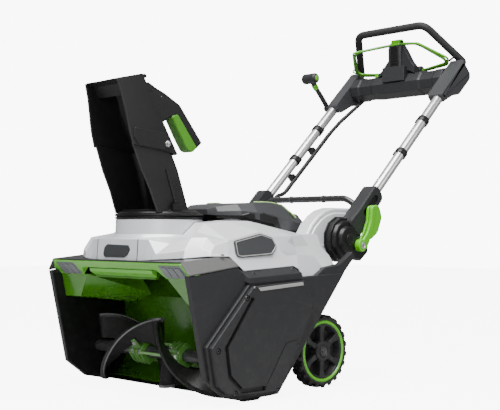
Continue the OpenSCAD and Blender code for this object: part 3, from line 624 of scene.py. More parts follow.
def belt_cover():
    channel = strip([(-404, 246), (-490, 134), (-479, 66), (-438, 30), (-362, 30)], 11)
    fine = strip([(-362, 30), (-290, 133), (-248, 137)], 2.2)
    cuts = [Shape().prism(channel, 293, 304), Shape().prism(fine, 298.4, 304)]
    cuts += [Shape().rod((295, y, z), (1, 0, 0), [(7.5, 0), (7.5, 8)], 20) for y, z in COVER_SCREWS]
    Shape().pad(offset(COVER, 7), HALF_OUT + 2, COVER_X, 1.6).make(
        "belt_cover_panel", "housing", "dark_grey", "plate grey", ["belt_cover"], edge=0.5, cutters=cuts)
    # Thin black strip in the bottom of the channel: painted shade in the groove
    groove_shade_strip = Shape()
    groove_shade_strip.prism(strip([(-404, 245), (-489, 134), (-478, 67), (-438, 31), (-364, 31)], 9.4), 292.6, 293.8)
    groove_shade_strip.make("cover_groove_painted_shade", "housing", "black_plastic", "plain black", edge=0.2)
    flange = Shape().pad(COVER, HALF_OUT + 0.3, HALF_OUT + 10, 2.0)
    flange.make("belt_cover_flange", "housing", "dark_grey", "plate grey", edge=0.8)
    ledge = Shape()
    ledge.loft([[(266, -424, 314), (266, -248, 323), (266, -248, 300), (266, -424, 291)],
                [(292, -408, 292), (292, -226, 301), (292, -226, 286), (292, -408, 278)]])
    ledge.pad([(-160, 290), (-47, 297), (-4, 338), (-14, 352), (-66, 320), (-124, 312)], 262, 278, 2.0)
    seat = Shape()
    seat.loft([[(260, -430, 326), (260, -216, 332), (260, -216, 296), (260, -430, 286)],
               [(279, -424, 300), (279, -226, 309), (279, -226, 292), (279, -424, 281)]])
    seat.flipped().make("shell_seat_left", "housing", "dark_grey", "plate grey", edge=1.0)
    strut = Shape()
    strut.pad([(-160, 290), (-47, 297), (-4, 338), (-14, 352), (-66, 320), (-124, 312)], 262, 278, 2.0)
    strut.flipped().make("strut_left", "housing", "dark_grey", "plate grey", edge=0.8)
    ledge.make("cover_ledge", "housing", "dark_grey", "plate grey", edge=1.0)
    Shape().pad([(-388, 269), (-380, 261), (-229, 270.5), (-231, 278.5)], 299.4, 300.9, 0.5).make(
        "cover_stripe", "housing", "silver_shell", "trim silver", edge=0.3)
    bolts = Shape()
    for y, z in COVER_SCREWS:
        screw(bolts, (295.2, y, z), (1, 0, 0), 5.5, 4.4)
    for y, z in [(-383, 304), (-247, 311)]:
        screw(bolts, (280, y, z - 1.5), (0.64, 0, 0.77), 5.0, 3.0)
    for y, z in [(-423, 250), (-500, 100), (-330, 60), (-180, 240)]:
        screw(bolts, (-HALF_OUT, y, z), (-1, 0, 0), 5.0, 2.0)
    screw(bolts, (262, -470, 346), (0.2, 0, 1), 4.5, 2.4)
    screw(bolts, (-262, -470, 346), (-0.2, 0, 1), 4.5, 2.4)
    screw(bolts, (205, -548, 337.5), (0, -0.1, 1), 4.0, 2.2)
    screw(bolts, (-205, -548, 337.5), (0, -0.1, 1), 4.0, 2.2)
    bolts.make("cover_bolts", "housing", "black_steel", "black steel", ["cover_screws"], edge=0.25)
    dot = Shape().rod((299.6, -401, 271), (1, 0, 0), [(2.6, 0), (2.6, 1.0), (1.8, 1.5)], 16)
    dot.make("cover_rivet", "housing", "steel", "zinc steel", edge=0.2)


def front_frame():
    def face_y(z):
        return -594 + 0.94 * (328 - z)

    def section(x, top, low):
        y0, y1 = face_y(top), face_y(low)
        return [(x, y0 + 1.5, top), (x, y0, top - 1.5), (x, y1, low), (x, y1 + 5, low - 0.6),
                (x, -556, low + 2), (x, -556, top)]

    rows = [(-279, 303, 301), (-265, 316, 290), (-253, 328, 290), (-165, 328, 290), (-146, 328, 311),
            (146, 328, 311), (165, 328, 290), (253, 328, 290), (265, 316, 290), (279, 303, 301)]
    pockets = []
    for side in (1, -1):
        pockets.append(Shape().prism(lamp_outline(side, 40, 21.5, 7), -5.0, 12.0, lamp_place))
    Shape().loft([section(*r) for r in rows]).make(
        "front_frame", "housing", "bright_green", "front green", ["front_bezel"], edge=1.4, cutters=pockets)
    lip = Shape()
    lip.loft([[(x, -566, 309), (x, -563, 300), (x, -548, 291), (x, -548, 309)] for x in (-132, 118)])
    lip.make("frame_inner_lip", "housing", "bright_green", "front green", edge=1.2)
    rib = Shape()
    rib.loft([[(x, -548, 292), (x, -548, 286), (x, -536, 286), (x, -536, 300)] for x in (-128, 112)])
    rib.make("frame_inner_rib", "housing", "green_housing", "housing green", edge=1.0)


def lamp_outline(side, half_u, half_v, cut):
    box = [(-half_u, -half_v), (half_u, -half_v), (half_u, half_v), (-half_u, half_v)]
    return [(u + side * 208, v) for u, v in round_off(box, cut, 4)]


def lamp_place(u, v, w):
    """u across, v up the sloping lamp face, w out of it."""
    return (u, -574 - 0.688 * v - 0.726 * w, 306.6 + 0.726 * v - 0.688 * w)


def headlights():
    case, glass, frames = Shape(), Shape(), Shape()
    for side in (1, -1):
        case.pad(lamp_outline(side, 39.4, 20.9, 6.6), -4.6, 1.0, 1.0, lamp_place)
        for k in (-1, 0, 1):
            cell = [(side * 208 + k * 24 + a * 8.8, b * 14.5) for a,
                    b in ((-1, -1), (1, -1), (1, 1), (-1, 1))]
            frames.pad(offset(round_off(cell, 4, 3), -1.7), 0.6, 3.4, 0.6, lamp_place)
            glass.pad(round_off(cell, 4, 3), 1.0, 3.0, 1.0, lamp_place)
    case.make("lamp_cases", "housing", "lamp_reflector", "lamp grey", ["headlight_housings"], edge=0.5)
    frames.make("lamp_frames", "housing", "lamp_reflector", "lamp grey", edge=0.2)
    glass.make("lamp_glasses", "housing", "lamp_lens", "lamp light", ["headlight_lenses"], edge=0.4)


def front_deck():
    bevel = Shape()
    bevel.loft([[(255, -593, 328.6), (255, -593, 331.5), (253, -447, 346), (253, -447, 342.5)],
                [(280.4, -589, 299.5), (281.4, -589, 302.5), (281.4, -434, 321.5), (280, -434, 318)]])
    bevel.mirrored().make("deck_bevels", "housing", "dark_grey", "deck grey", ["front_deck"], edge=1.0)
    flat = Shape()
    flat.loft([[(70, -594, 328.4), (70, -594, 331), (70, -560, 333.5), (70, -560, 331)],
               [(190, -594, 328.4), (190, -594, 331), (190, -530, 336.5), (190, -530, 334)],
               [(253, -593.5, 328.4), (253, -593.5, 331), (251, -447, 345.8), (251, -447, 342.8)]])
    flat.mirrored()
    flat.loft([[(x, -594, 328.4), (x, -594, 331), (x, -566, 332.5), (x, -566, 330)] for x in (-71, 71)])
    flat.make("deck_flat", "housing", "dark_grey", "plate grey", edge=0.9)


def auger_housing():
    dress("auger_drum", "housing green", edge=0.4)
    dress("scraper_bar", "plain black", edge=0.5)
    shoes = Shape()
    shoes.prism([(-424, 5.2), (-414, 0), (-366, 0), (-356, 5.2)], HALF_IN + 1, HALF_OUT - 1)
    shoes.mirrored().make("skid_pads", "housing", "black_plastic", "plain black", ["skid_shoes"], edge=0.8)
    # Folded shoulders that fair the funnel into the mouth
    fold = Shape()
    fold.add([(158, -553, 292), (262, -559, 290), (262, -546, 232), (212, -534, 232), (104, -470, 262),
              (104, -430, 300), (60, -420, 240), (150, -400, 215), (262, -400, 215)],
             [(0, 1, 2, 3), (0, 3, 4), (0, 4, 5), (4, 3, 7, 6), (3, 2, 8, 7), (5, 4, 6)])
    fold.mirrored().make("funnel_folds", "housing", "green_housing", "housing green", thick=1.5, edge=0.3)


# ---- body shell ----

def body_shell():
    v = {
        "n0": (0, -580, 331), "n1": (78, -580, 331), "n2": (106, -577, 332), "n3": (0, -577, 383),
        "n4": (78, -577, 383), "n5": (112, -570, 382), "v1": (140, -528, 373), "r2": (200, -512, 387),
        "r3": (225, -486, 388), "v2": (240, -474, 369), "r4": (250, -441, 381), "r5": (243, -331, 403),
        "r6": (250, -284, 391), "r7": (254, -266, 370), "l1": (140, -571, 348), "l2": (200, -534, 357),
        "l3": (225, -506, 362), "l4": (246, -492, 352), "l5": (259, -450, 345), "l6": (258, -270, 357),
        "h1": (132, -578, 334), "h2": (200, -538, 338), "h3": (250, -500, 344), "h4": (263, -448, 344),
        "p1": (276, -411, 309), "p2": (273, -236, 318), "p3": (259, -250, 344),
        "c1": (0, -550, 389), "c2": (84, -522, 389), "c3": (116, -470, 391), "t0": (152, -452, 402),
        "t1": (150, -425, 422), "t2": (150, -349, 429), "t3": (150, -275, 430), "t4": (150, -229, 423),
        "t5": (150, -161, 400), "i1": (112, -425, 424), "i2": (112, -349, 431), "i3": (112, -275, 431),
        "i4": (112, -229, 424), "i5": (112, -161, 400), "e1": (205, -135, 397), "e2": (194, -60, 399),
        "w1": (160, -135, 399), "w2": (160, -60, 400), "j1": (112, -60, 401), "s1": (246, -215, 393),
        "f1": (246, -205, 366), "f2": (226, -130, 368), "f3": (208, -62, 366),
        "g1": (258, -208, 345), "g2": (244, -130, 343), "g3": (224, -44, 340),
        "k1": (268, -175, 266), "k0": (276, -222, 311), "k2": (272, -112, 299), "k3": (262, -56, 300),
        "m1": (196, -30, 338), "m2": (196, -34, 372), "u1": (252, -236, 379),
    }
    faces = [
        "n0 n1 n4 n3", "n1 n2 n5 n4", "n2 h1 l1 n5", "n5 l1 v1", "l1 l2 r2 v1", "l2 l3 r3 r2", "l3 l4 v2 r3",
        "l4 l5 r4 v2", "h1 h2 l2 l1", "h2 h3 l4 l3 l2", "h3 h4 l5 l4", "l5 l6 r7 r6 r5 r4",
        "h4 p1 p2 p3 l6 l5",
        "p2 k0 g1 p3", "p3 g1 l6", "l6 g1 f1 u1 r7", "r7 u1 s1 r6", "u1 f1 s1", "f1 g1 g2 f2", "f2 g2 g3 f3",
        "s1 f1 f2 e1", "e1 f2 f3 e2", "k0 k1 k2 g2 g1", "k2 k3 g3 g2", "f3 g3 m1 m2",
        "n3 n4 c2 c1", "n4 n5 v1 c2", "c2 v1 r2 c3", "c3 r2 r3 t0", "r3 v2 r4 t0", "t0 r4 t1", "t1 r4 r5 t2",
        "t2 r5 t3", "t3 r5 r6 s1 t4", "t4 s1 e1 t5", "t5 e1 w1", "w1 e1 e2 w2", "c3 t0 t1 i1", "i1 t1 t2 i2",
        "i2 t2 t3 i3", "i3 t3 t4 i4", "i4 t4 t5 i5", "i5 t5 w1 w2 j1",
    ]
    index = {k: i for i, k in enumerate(v)}
    shell = Shape().add(list(v.values()), [tuple(index[k] for k in f.split()) for f in faces])
    shell.mirrored()
    shell.make("body_shell", "housing", "silver_shell", "shell silver", ["top_shroud"], thick=3.0, edge=2.2,
               sharp=6)
    collar = Shape()
    collar.turned([(97.5, -6), (97.5, 45.5), (109, 45.5), (110.5, 44), (111, 8), (120, -3), (122, -6),
                   (97.5, -6)],
                  (0, CHUTE_Y, 387), (0, 0, 1), 64)
    collar.make("shell_collar", "housing", "silver_shell", "shell silver", edge=1.0)
    inner = Shape()
    inner.loft([[(x, -430, 384), (x, -430, 402), (x, -300, 414), (x, -60, 396),
                 (x, -60, 384)] for x in (-113, 113)])
    inner.make("bay_surround", "housing", "black_plastic", "plain black", edge=0.8)
    seams = Shape()
    for side in (1, -1):
        seams.loft([[(side * x, y, z) for x, y, z in ((79.4, -580.8, 331), (79.4, -577.8, 383),
                                                      (80.8, -577.4, 383),
                                                      (80.8, -580.4, 331))],
                    [(side * x, y + 1.2, z) for x, y, z in ((79.4, -580.8, 331), (79.4, -577.8, 383),
                                                            (80.8, -577.4, 383), (80.8, -580.4, 331))]])
    seams.make("nose_seams", "housing", "dark_grey", "plate grey", edge=0.0)


EAR = [(-101, 394), (-80, 424), (-52, 448), (-26, 462), (8, 470), (83, 470), (108, 452), (112, 420),
       (104, 380),
       (86, 348), (60, 326), (37, 323), (-13, 324), (-60, 326), (-96, 350)]


def ear_panels():
    ear = Shape()
    ear.pad(EAR, 150, 193, 4.0)
    ear.pad(offset(EAR, 13), 190, 196.0, 2.5)
    ear.mirrored().make("ear_panels", "housing", "silver_shell", "shell silver", edge=1.6, sharp=20)
    rear = Shape()
    rear.loft([[(x, -60, 326), (x, -60, 399), (x, 100, 404), (x, 110, 396), (x, 86, 334)] for x in (-152,
                                                                                                    152)])
    rear.make("rear_deck", "housing", "silver_shell", "shell silver", edge=2.0)
    dress("rear_frame", "plate grey", edge=0.6)
    grille = Shape()
    for k in range(9):
        z = 346 + 5.2 * k
        y = 90 + (z - 334) * 0.30
        grille.loft([[(x, y + 1, z), (x, y + 3.4, z + 0.6), (x, y + 3.4, z + 3), (x, y, z + 3)]
                     for x in (-110, 110)])
    grille.make("rear_grille", "housing", "dark_grey", "plate grey", edge=0.5)


def badges():
    side = Shape()
    flank = [(-424, 344), (-410, 340), (-304, 346), (-282, 366), (-292, 388), (-330, 398), (-424, 380)]

    def lean(u, v, w):
        return (264.6 + w - (v - 340) * 0.266, u, v)

    side.pad(round_off(flank, 4, 2), -7.0, 1.6, 0.8, lean)
    side.mirrored()
    side.make("flank_badges", "housing", "badge", "badge dark", edge=0.4)
    nose = Shape()
    plate = [(-54, 345), (-47, 338), (30, 338), (44, 345), (52, 358), (46, 368), (-40, 370), (-50, 362)]
    nose.pad(round_off(plate, 3, 2), 0, 1.8, 0.7, lambda u, v, w: (u, -580.2 - w + (v - 331) * 0.06, v))
    nose.make("nose_badge", "housing", "badge", "badge dark", ["badges"], edge=0.4)
    rim = Shape()
    outline = round_off(flank, 4, 2)
    rim.loft([[lean(*p, w) for p in ring] for ring, w in ((offset(outline, 2.0), 1.2),
                                                          (offset(outline, 2.6), 2.2),
                                                          (offset(outline, 4.0), 2.2),
                                                          (offset(outline, 4.6), 1.2))],
             caps=False)
    rim.mirrored().make("flank_badge_rims", "housing", "silver_shell", "trim silver", edge=0.0)


def battery_lid():
    rows = [(-318, 42, 36, 446, 462), (-304, 66, 56, 444, 468), (-262, 112, 92, 444, 475),
            (-219, 130, 108, 434, 479), (-169, 135, 112, 424, 482), (-135, 135, 112, 406, 480),
            (-98, 134, 110, 407, 473), (-72, 133, 108, 408, 455), (-42, 130, 104, 410, 452),
            (-36, 128, 102, 414, 434)]
    lid = Shape()
    lid.loft([[(w, y, h), (w - 1, y, h + (t - h) * 0.42), (u, y, t), (-u, y, t),
               (-w + 1, y, h + (t - h) * 0.42),
               (-w, y, h)] for y, w, u, h, t in rows])
    lid.make("battery_lid_top", "lid", "lid_grey", "lid grey", ["battery_lid"], edge=2.0, sharp=14)
    saddle = Shape()
    saddle.loft([[(w + 2.2, y, h), (w + 1.4, y, h + (t - h) * 0.45), (u + 3, y, t - 1), (u - 3, y, t + 1),
                  (-u + 3, y, t + 1), (-u - 3, y, t - 1), (-w - 1.4, y, h + (t - h) * 0.45), (-w - 2.2, y, h)]
                 for y, w, u, h, t in [(-262, 113, 96, 444, 446), (-243, 120, 103, 437, 467),
                                       (-200, 132, 111, 431, 471),
                                       (-153, 135, 113, 418, 466), (-136, 135, 113, 404, 408)]])
    saddle.make("lid_saddle", "lid", "black_plastic", "plain black", edge=1.2, sharp=18)
    accent = Shape()
    for side in (1, -1):
        accent.loft([[(side * x, y, z) for x, y, z in row] for row in (
            [(88, -196, 481), (104, -190, 480.5), (104, -190, 483), (88, -196, 483.6)],
            [(86, -164, 483), (112.5, -150, 480), (112.5, -150, 482.6), (86, -164, 485)],
            [(84, -112, 477), (111.5, -112, 474), (112.5, -112, 477.5), (84, -112, 480)],
            [(82, -82, 462), (120, -82, 452), (121, -82, 456), (82, -82, 466)],
            [(82, -74, 455.6), (128, -72, 440), (129, -72, 444), (82, -74, 459.6)])])
    accent.make("lid_accents", "lid", "lid_window", "pale window", ["lid_window"], edge=0.8)
    hem = Shape()
    hem.loft([[(w - 5, y, h - 7), (w - 5, y, h + 2), (-w + 5, y, h + 2), (-w + 5, y, h - 7)]
              for y, w, u, h, t in rows[1:-1]])
    hem.make("lid_hem", "lid", "black_plastic", "plain black", edge=0.8)
    latch = Shape()
    latch.pad([(-26, 0), (26, 0), (22, 18), (-22, 18)], 0, 5, 1.5, lambda u, v,
              w: (u, -56 - v, 456 + w + v * 0.2))
    latch.make("lid_latch", "lid", "black_plastic", "plain black", edge=0.6)


def bay_parts():
    dress("battery_bay", "plain black")
    dress("battery_packs", "battery grey", edge=2.5)
    dress("control_board", "cast metal", edge=1.0)
    dress("axle", "zinc steel")
    dress("motor", "cast metal", edge=1.5)
    dress("drive_belt", "tyre rubber", edge=0.4)
    dress("idler_arm", "zinc steel")
    dress("idler_wheel", "zinc steel")
    dress("auger_bearings", "zinc steel")
    dress("auger_pulley", "cast metal")
    dress("motor_pulley", "cast metal")
    ribs = Shape()
    for k in range(10):
        ribs.turned([(45.8, 0), (46.8, 0.4), (46.8, 3.6), (45.8, 4)], (150 + k * 10, -272, 208), (1, 0, 0),
                    40)
    ribs.make("motor_fins", "housing", "cast_metal", "cast metal", edge=0.2)


# ---- chute ----

CHUTE_ROWS = [(448, -519, -412, 85, 0), (504, -541, -429, 82, 0), (555, -567, -445, 79, 0),
              (616, -591, -466, 75.5, -14)]
DEFLECT_ROWS = [(611, -592, -444, 80.0, -18), (645, -602, -466, 78.5, -14), (668, -607, -487, 77, 0),
                (698, -613, -508, 74, 6), (732, -621, -525, 70, 14), (765, -631.5, -546, 66, 24)]


def channel(shape, rows, wall, cut=14.0):
    """An open-fronted channel: height at the front, front y, back y, half width and the rise to the back."""
    rings = []
    for z, front, back, half, rise in rows:
        outer = [(half, front), (half, back - cut), (half - 3, back - cut * 0.35), (half - cut, back)]
        inner = [(half - wall, front), (half - wall, back - cut - 1),
                 (half - wall - 3, back - cut * 0.35 - wall),
                 (half - cut - 1, back - wall)]
        path = outer + [(-x, y) for x, y in reversed(outer)] + [(-x, y) for x, y in inner] \
            + [(x, y) for x, y in reversed(inner)]
        rings.append([(x, y, z + rise * (y - front) / (back - front)) for x, y in path])
    return shape.loft(rings)


def chute_parts():
    base = Shape()
    base.turned([(92, -8), (111.5, -8), (112, -6), (112, -3), (109, -1.5), (92, -1.5), (92, -8)],
                (0, CHUTE_Y, 441), (0, 0, 1), 72)
    base.make("chute_base_ring_seat", "housing", "black_plastic", "plain black", ["chute_base_ring"],
              edge=0.5)
    ring = Shape()
    ring.turned([(86, 0), (113, 0), (113, 4), (109, 6.5), (105, 6.5), (103, 10), (96, 12), (92, 16), (86, 16),
                 (86, 0)], (0, CHUTE_Y, 440.5), (0, 0, 1), 72)
    for k in range(12):
        a = math.radians(30 * k + 8)
        c, s = math.cos(a), math.sin(a)
        ring.loft([[(c * r - s * w, CHUTE_Y + s * r + c * w, z) for r, z in ((95, 452), (109, 447),
                                                                             (109, 445),
                                                                            (95, 445))] for w in (-1.5, 1.5)])
    ring.make("chute_turning_ring", "chute", "black_plastic", "plain black", ["chute_ring"], edge=0.6)
    low = Shape()
    channel(low, CHUTE_ROWS, 4.5)
    # Thin strips on the front edges in the lighter charcoal: painted highlight along the edges
    low.mark = 1
    for side in (1, -1):
        low.loft([[(side * x, y, z) for x, y in ((h - 5, f - 1.2), (h + 0.5, f - 1.2), (h + 0.5, f + 0.6),
                                                 (h - 5, f + 0.6))] for z, f, b, h, _ in CHUTE_ROWS])
    low.mark = 0
    for side in (1, -1):
        low.loft([[(side * x, y, z) for x, y in ((h - 1, b - 48), (h + 2.6, b - 48), (h + 2.6, b - 40),
                                                 (h - 1, b - 40))] for z, f, b, h, _ in CHUTE_ROWS[:3]])
    low.make("lower_chute_wall", "chute", "chute_grey", ["chute charcoal", "chute edge painted highlight"], ["lower_chute"],
             edge=1.0,
             sharp=20)
    block = Shape()
    block.box((86, -480, 452), (96, -452, 470))
    block.box((88, -474, 470), (94, -458, 478))
    block.mirrored().make("chute_latch_blocks", "chute", "black_plastic", "plain black", edge=1.2)
    top = Shape()
    channel(top, DEFLECT_ROWS, 4.5, 20.0)
    # Thin strips on the front edges in the lighter charcoal: painted highlight along the edges
    top.mark = 1
    for side in (1, -1):
        top.loft([[(side * x, y, z) for x, y in ((h - 5, f - 1.2), (h + 0.5, f - 1.2), (h + 0.5, f + 0.6),
                                                 (h - 5, f + 0.6))] for z, f, b, h, _ in DEFLECT_ROWS])
    top.mark = 0
    top.loft([[(x, y, z) for y, z in ((-586, 738), (-604, 764), (-626, 768), (-631, 766), (-610, 758),
                                      (-592, 732))] for x in (-64, 64)])
    top.loft([[(x, y, z) for y, z in ((-606, 769), (-546, 787), (-540, 784), (-541, 778), (-604, 762))]
              for x in (-63, 63)])
    top.make("deflector_wall", "deflector", "chute_grey", ["chute charcoal", "chute edge painted highlight"], ["deflector"],
             edge=1.0,
             sharp=20)
    pointed = Shape()
    pointed.pad([(-594, 628), (-578, 610), (-500, 602), (-474, 618), (-500, 645), (-590, 652)], 78.5, 82.0,
                1.6)
    pointed.mirrored().make("deflector_cheeks", "deflector", "chute_grey", "chute charcoal", edge=0.8)
    pins = Shape()
    hex_bolt(pins, (81.5, -487, 618), (1, 0, 0), 6.5, 5)
    pins.mirrored().make("deflector_pins", "deflector", "steel", "zinc steel", edge=0.3)
    arm = Shape()
    arm.pad([(-528, 764), (-493, 775), (-440, 755), (-389, 729), (-312, 636), (-330, 620), (-396, 698),
             (-424, 694), (-456, 672), (-486, 662)], 0, 14, 3.0)
    arm.mirrored().make("deflector_arm_plate", "deflector", "chute_grey", "chute charcoal", ["deflector_arm"],
                        edge=1.0)
    foot = Shape()
    foot.pad([(-540, 768), (-496, 777), (-476, 768), (-490, 752), (-534, 744)], 8, 16, 2.0)
    foot.mirrored().make("deflector_arm_foot", "deflector", "chute_grey", "chute charcoal", edge=0.8)
    grip = Shape()
    grip.pad(round_off([(-420, 698), (-398, 706), (-330, 622), (-346, 608), (-364, 612), (-386, 643)], 7, 3),
             -15.5, 15.5, 3.0)
    grip.make("deflector_grip_pad", "deflector", "grip_green", "grip green", ["deflector_grip"], edge=0.8)
    bolts = Shape()
    for y, z in ((-452, 742), (-322, 636)):
        screw(bolts, (13.6, y, z), (1, 0, 0), 3.6, 1.8)
    screw(bolts, (16, -514, 762), (1, 0, 0), 4.5, 2.2)
    bolts.mirrored().make("deflector_arm_screws", "deflector", "steel", "black steel", edge=0.2)


# ---- auger ----

def auger_point(x, r, turn):
    a = math.radians(turn)
    return (x, AUGER[0] - r * math.sin(a), AUGER[1] + r * math.cos(a))


def blade_turn(x, phase):
    """Angle of the ribbon's crest at a distance from the middle; 0 looks up and 90 ahead."""
    along = abs(x)
    return phase + (90.0 * along / 110.0 if along < 110.0 else 90.0 + 105.0 * (along - 110.0) / 140.0)


def auger_parts():
    shaft = Shape()
    shaft.rod((-286, *AUGER), (1, 0, 0), [(9.5, 0), (9.5, 20), (15.5, 20.5), (15.5, 551), (9.5, 551.5),
                                          (9.5, 566)], 32)
    for x in (-84, -60, 60, 84):
        shaft.rod((x - 3, *AUGER), (1, 0, 0), [(21, 0), (21, 6)], 32)
    shaft.make("auger_shaft_bar", "auger", "black_steel", "black steel", ["auger_shaft"], edge=0.4)
    blades = Shape()
    for phase in (0, 180):
        for side in (1, -1):
            rows, edges, back = [], [], []
            for k in range(33):
                x = 18 + (246 - 18) * k / 32
                turn = blade_turn(x, phase)
                width = 3.2
                r_in = 22 + 26 * math.sin(math.pi * min(1.0, k / 24))
                slope = 9.0
                rows.append([auger_point(side * (x + dx), r, turn + dt) for dx, r, dt in (
                    (-width, r_in, slope), (width, r_in, slope), (width, 80, 0), (-width, 80, 0))])
                edges.append([auger_point(side * (x + dx), r, turn + dt) for dx, r, dt in (
                    (-width - 2.6, 78, 1.0), (width + 1.0, 78, 1.0), (width + 1.0, 88.5, -1.0),
                    (-width - 2.6, 88.5, -1.0))])
                back.append([auger_point(side * (x + dx), r, turn + dt) for dx, r, dt in (
                    (-width - 3.2, 84, 1.4), (-width - 1.4, 84, 1.4), (-width - 1.4, 87.5, -0.8),
                    (-width - 3.2, 87.5, -0.8))])
            blades.mark = 0
            blades.loft(rows)
            blades.loft(edges)
            blades.mark = 1
            blades.loft(back)
        # Arched middle paddle that joins the two ribbons
        mid, rim = [], []
        for k in range(17):
            x = -24 + 48 * k / 16
            turn = phase + 18 * (x / 24) ** 2
            mid.append([auger_point(x, r, turn + dt) for r, dt in ((18, 14), (18, 6), (84, -3), (84, 3))])
            rim.append([auger_point(x, r, turn + dt) for r,
                        dt in ((82, 4.2), (82, -4.2), (89, -4.2), (89, 4.2))])
        blades.mark = 0
        blades.loft(mid)
        blades.mark = 1
        blades.loft(rim)
    blades.make("auger_ribbon_paddles", "auger", "paddle_rubber", ["paddle rubber", "paddle edge"],
                ["auger_paddles"], edge=0.7, sharp=35)
    lugs = Shape()
    for side in (1, -1):
        for x in (50, 66, 78, 94):
            outline = [(math.cos(math.radians(a)) * r, math.sin(math.radians(a)) * r)
                       for a, r in ((-50, 30), (0, 34), (50, 30), (90, 34), (130, 30), (180, 34), (230, 30),
                                    (270, 34))]
            lugs.loft([[(side * (x + d), AUGER[0] + u * k, AUGER[1] + v * k) for u, v in outline]
                       for d, k in ((-2.0, 0.94), (-1.2, 1.0), (1.2, 1.0), (2.0, 0.94))])
        for phase in (0, 180):
            lugs.loft([[auger_point(side * x, r, phase + t) for r,
                        t in ((17, 78), (17, 112), (26, 108), (26, 82))]
                       for x in (46, 98)])
            lugs.loft([[auger_point(side * x, r, phase + t) for r,
                        t in ((26, 62), (26, 74), (58, 60), (58, 54))]
                       for x in (52, 92)])
    lugs.make("auger_clamp_lugs", "auger", "green_steel", "bracket green", ["auger_brackets"], edge=0.8)
    bar = Shape()
    for phase in (0, 180):
        bar.loft([[auger_point(x, r, phase + t) for r, t in ((24, 84), (24, 100), (33, 98), (33, 86))]
                  for x in (-52, 52)])
    bar.make("auger_clamp_bars", "auger", "green_steel", "bracket green", edge=1.0)
    bolts = Shape()
    for side in (1, -1):
        for phase in (0, 180):
            for x in (58, 86):
                tip = auger_point(side * x, 26, phase + 90)
                out = Vector((0, -1 if phase == 0 else 1, 0))
                hex_bolt(bolts, tip, out, 5.5, 4.5)
                hex_bolt(bolts, auger_point(side * x, 50, phase + 62), Vector(auger_point(0, 1, phase + 118))
                         - Vector(auger_point(0, 0, 0)), 5.0, 4.0)
    bolts.make("auger_clamp_bolts", "auger", "steel", "zinc steel", ["auger_bolts"], edge=0.3)


# ---- wheels ----

def wheel_parts():
    look = bpy.context.scene.snow_blower_finish
    y, z = WHEEL
    for side, name in ((1, "right"), (-1, "left")):
        tyre = Shape()
        tyre.turned([(79.5, 4), (84, 1.5), (87, 4), (88.2, 10), (88.6, 23), (88.2, 36), (87, 42), (84, 44.5),
                     (79.5, 42), (79, 23), (79.5, 4)], (216, y, z), (1, 0, 0), 96)
        for k in range(look.lugs):
            for inner, shift in ((True, 0.0), (False, 0.5)):
                a = 360.0 * (k + shift) / look.lugs
                x_edge, x_mid = (2.5, 26.0) if inner else (43.5, 20.0)
                lead = 9.0
                rows = []
                for x, turn, low, high, wide in ((x_edge, a, 82, 89.5, 3.9), (x_edge + (x_mid - x_edge) * 0.2,
                                                                              a, 88,
                                                 94.6, 3.9), (x_mid, a + lead, 89, 94.8, 3.0)):
                    rows.append([(216 + x, y + r * math.cos(math.radians(turn + d)),
                                  z + r * math.sin(math.radians(turn + d)))
                                 for r, d in ((low, -wide), (high, -wide * 0.8), (high, wide * 0.8),
                                              (low, wide))])
                tyre.loft(rows)
        if side < 0:
            tyre.flipped()
        tyre.make(name + "_tyre_tread", name + "_wheel", "tyre", "tyre rubber", [name + "_tyre"], edge=0.7)
        rim = Shape()
        rim.turned([(11, 8), (24, 8), (26, 14), (60, 20), (66, 38), (70.6, 41), (70.6, 2), (60, 4), (26, 10),
                    (11, 8)], (216, y, z), (1, 0, 0), 72)
        for k in range(6):
            a = math.radians(60 * k + 30)
            c, s = math.cos(a), math.sin(a)
            rows = []
            for r, half, x in ((22, 8, 38), (48, 6.5, 36), (68, 11, 40)):
                rows.append([(216 + h, y + c * r - s * w, z + s * r + c * w)
                             for h, w in ((14, -half), (x - 2, -half), (x, -half + 2), (x, half - 2),
                                          (x - 2, half),
                                          (14, half))])
            rim.loft(rows)
        rim.rod((216, y, z), (1, 0, 0), [(27, 12), (27, 40), (24, 42.5), (17, 42.5), (16, 40.5)], 40)
        if side < 0:
            rim.flipped()
        rim.make(name + "_rim_spokes", name + "_wheel", "dark_grey", "rim grey", [name + "_rim"], edge=0.9)
        ring = Shape().turned([(70.8, 6), (79.2, 4), (79.6, 41), (77, 43.2), (73, 43), (70.8, 40), (70.8, 6)],
                              (216, y, z), (1, 0, 0), 72)
        if side < 0:
            ring.flipped()
        ring.make(name + "_rim_band", name + "_wheel", "bright_green", "lime", [name + "_rim_ring"], edge=0.6)
        hub = Shape()
        hub.rod((256, y, z), (1, 0, 0), [(13, 0), (13, 2.6), (9, 3.2)], 32)
        hex_bolt(hub, (258.6, y, z), (1, 0, 0), 7.5, 3.3)
        if side < 0:
            hub.flipped()
        hub.make(name + "_hub_nut", name + "_wheel", "steel", "black steel", edge=0.4)


# ---- pivots and handle ----

def pivot_parts():
    hub = Shape()
    facets = [(math.cos(math.radians(30 * k + 15)), math.sin(math.radians(30 * k + 15))) for k in range(12)]

    def rings(steps):
        return [[(x, PIVOT[0] + c * r, PIVOT[1] + s * r) for c, s in facets] for x, r in steps]

    hub.loft(rings([(193, 63.5), (199, 63.5), (200.6, 61)]))
    hub.rod((196, *PIVOT), (1, 0, 0), [(8.9, 0), (8.9, 43)], 24)
    hub.mirrored().make("pivot_discs", "housing", "dark_grey", "plain black", ["pivot_hubs"], edge=0.8)


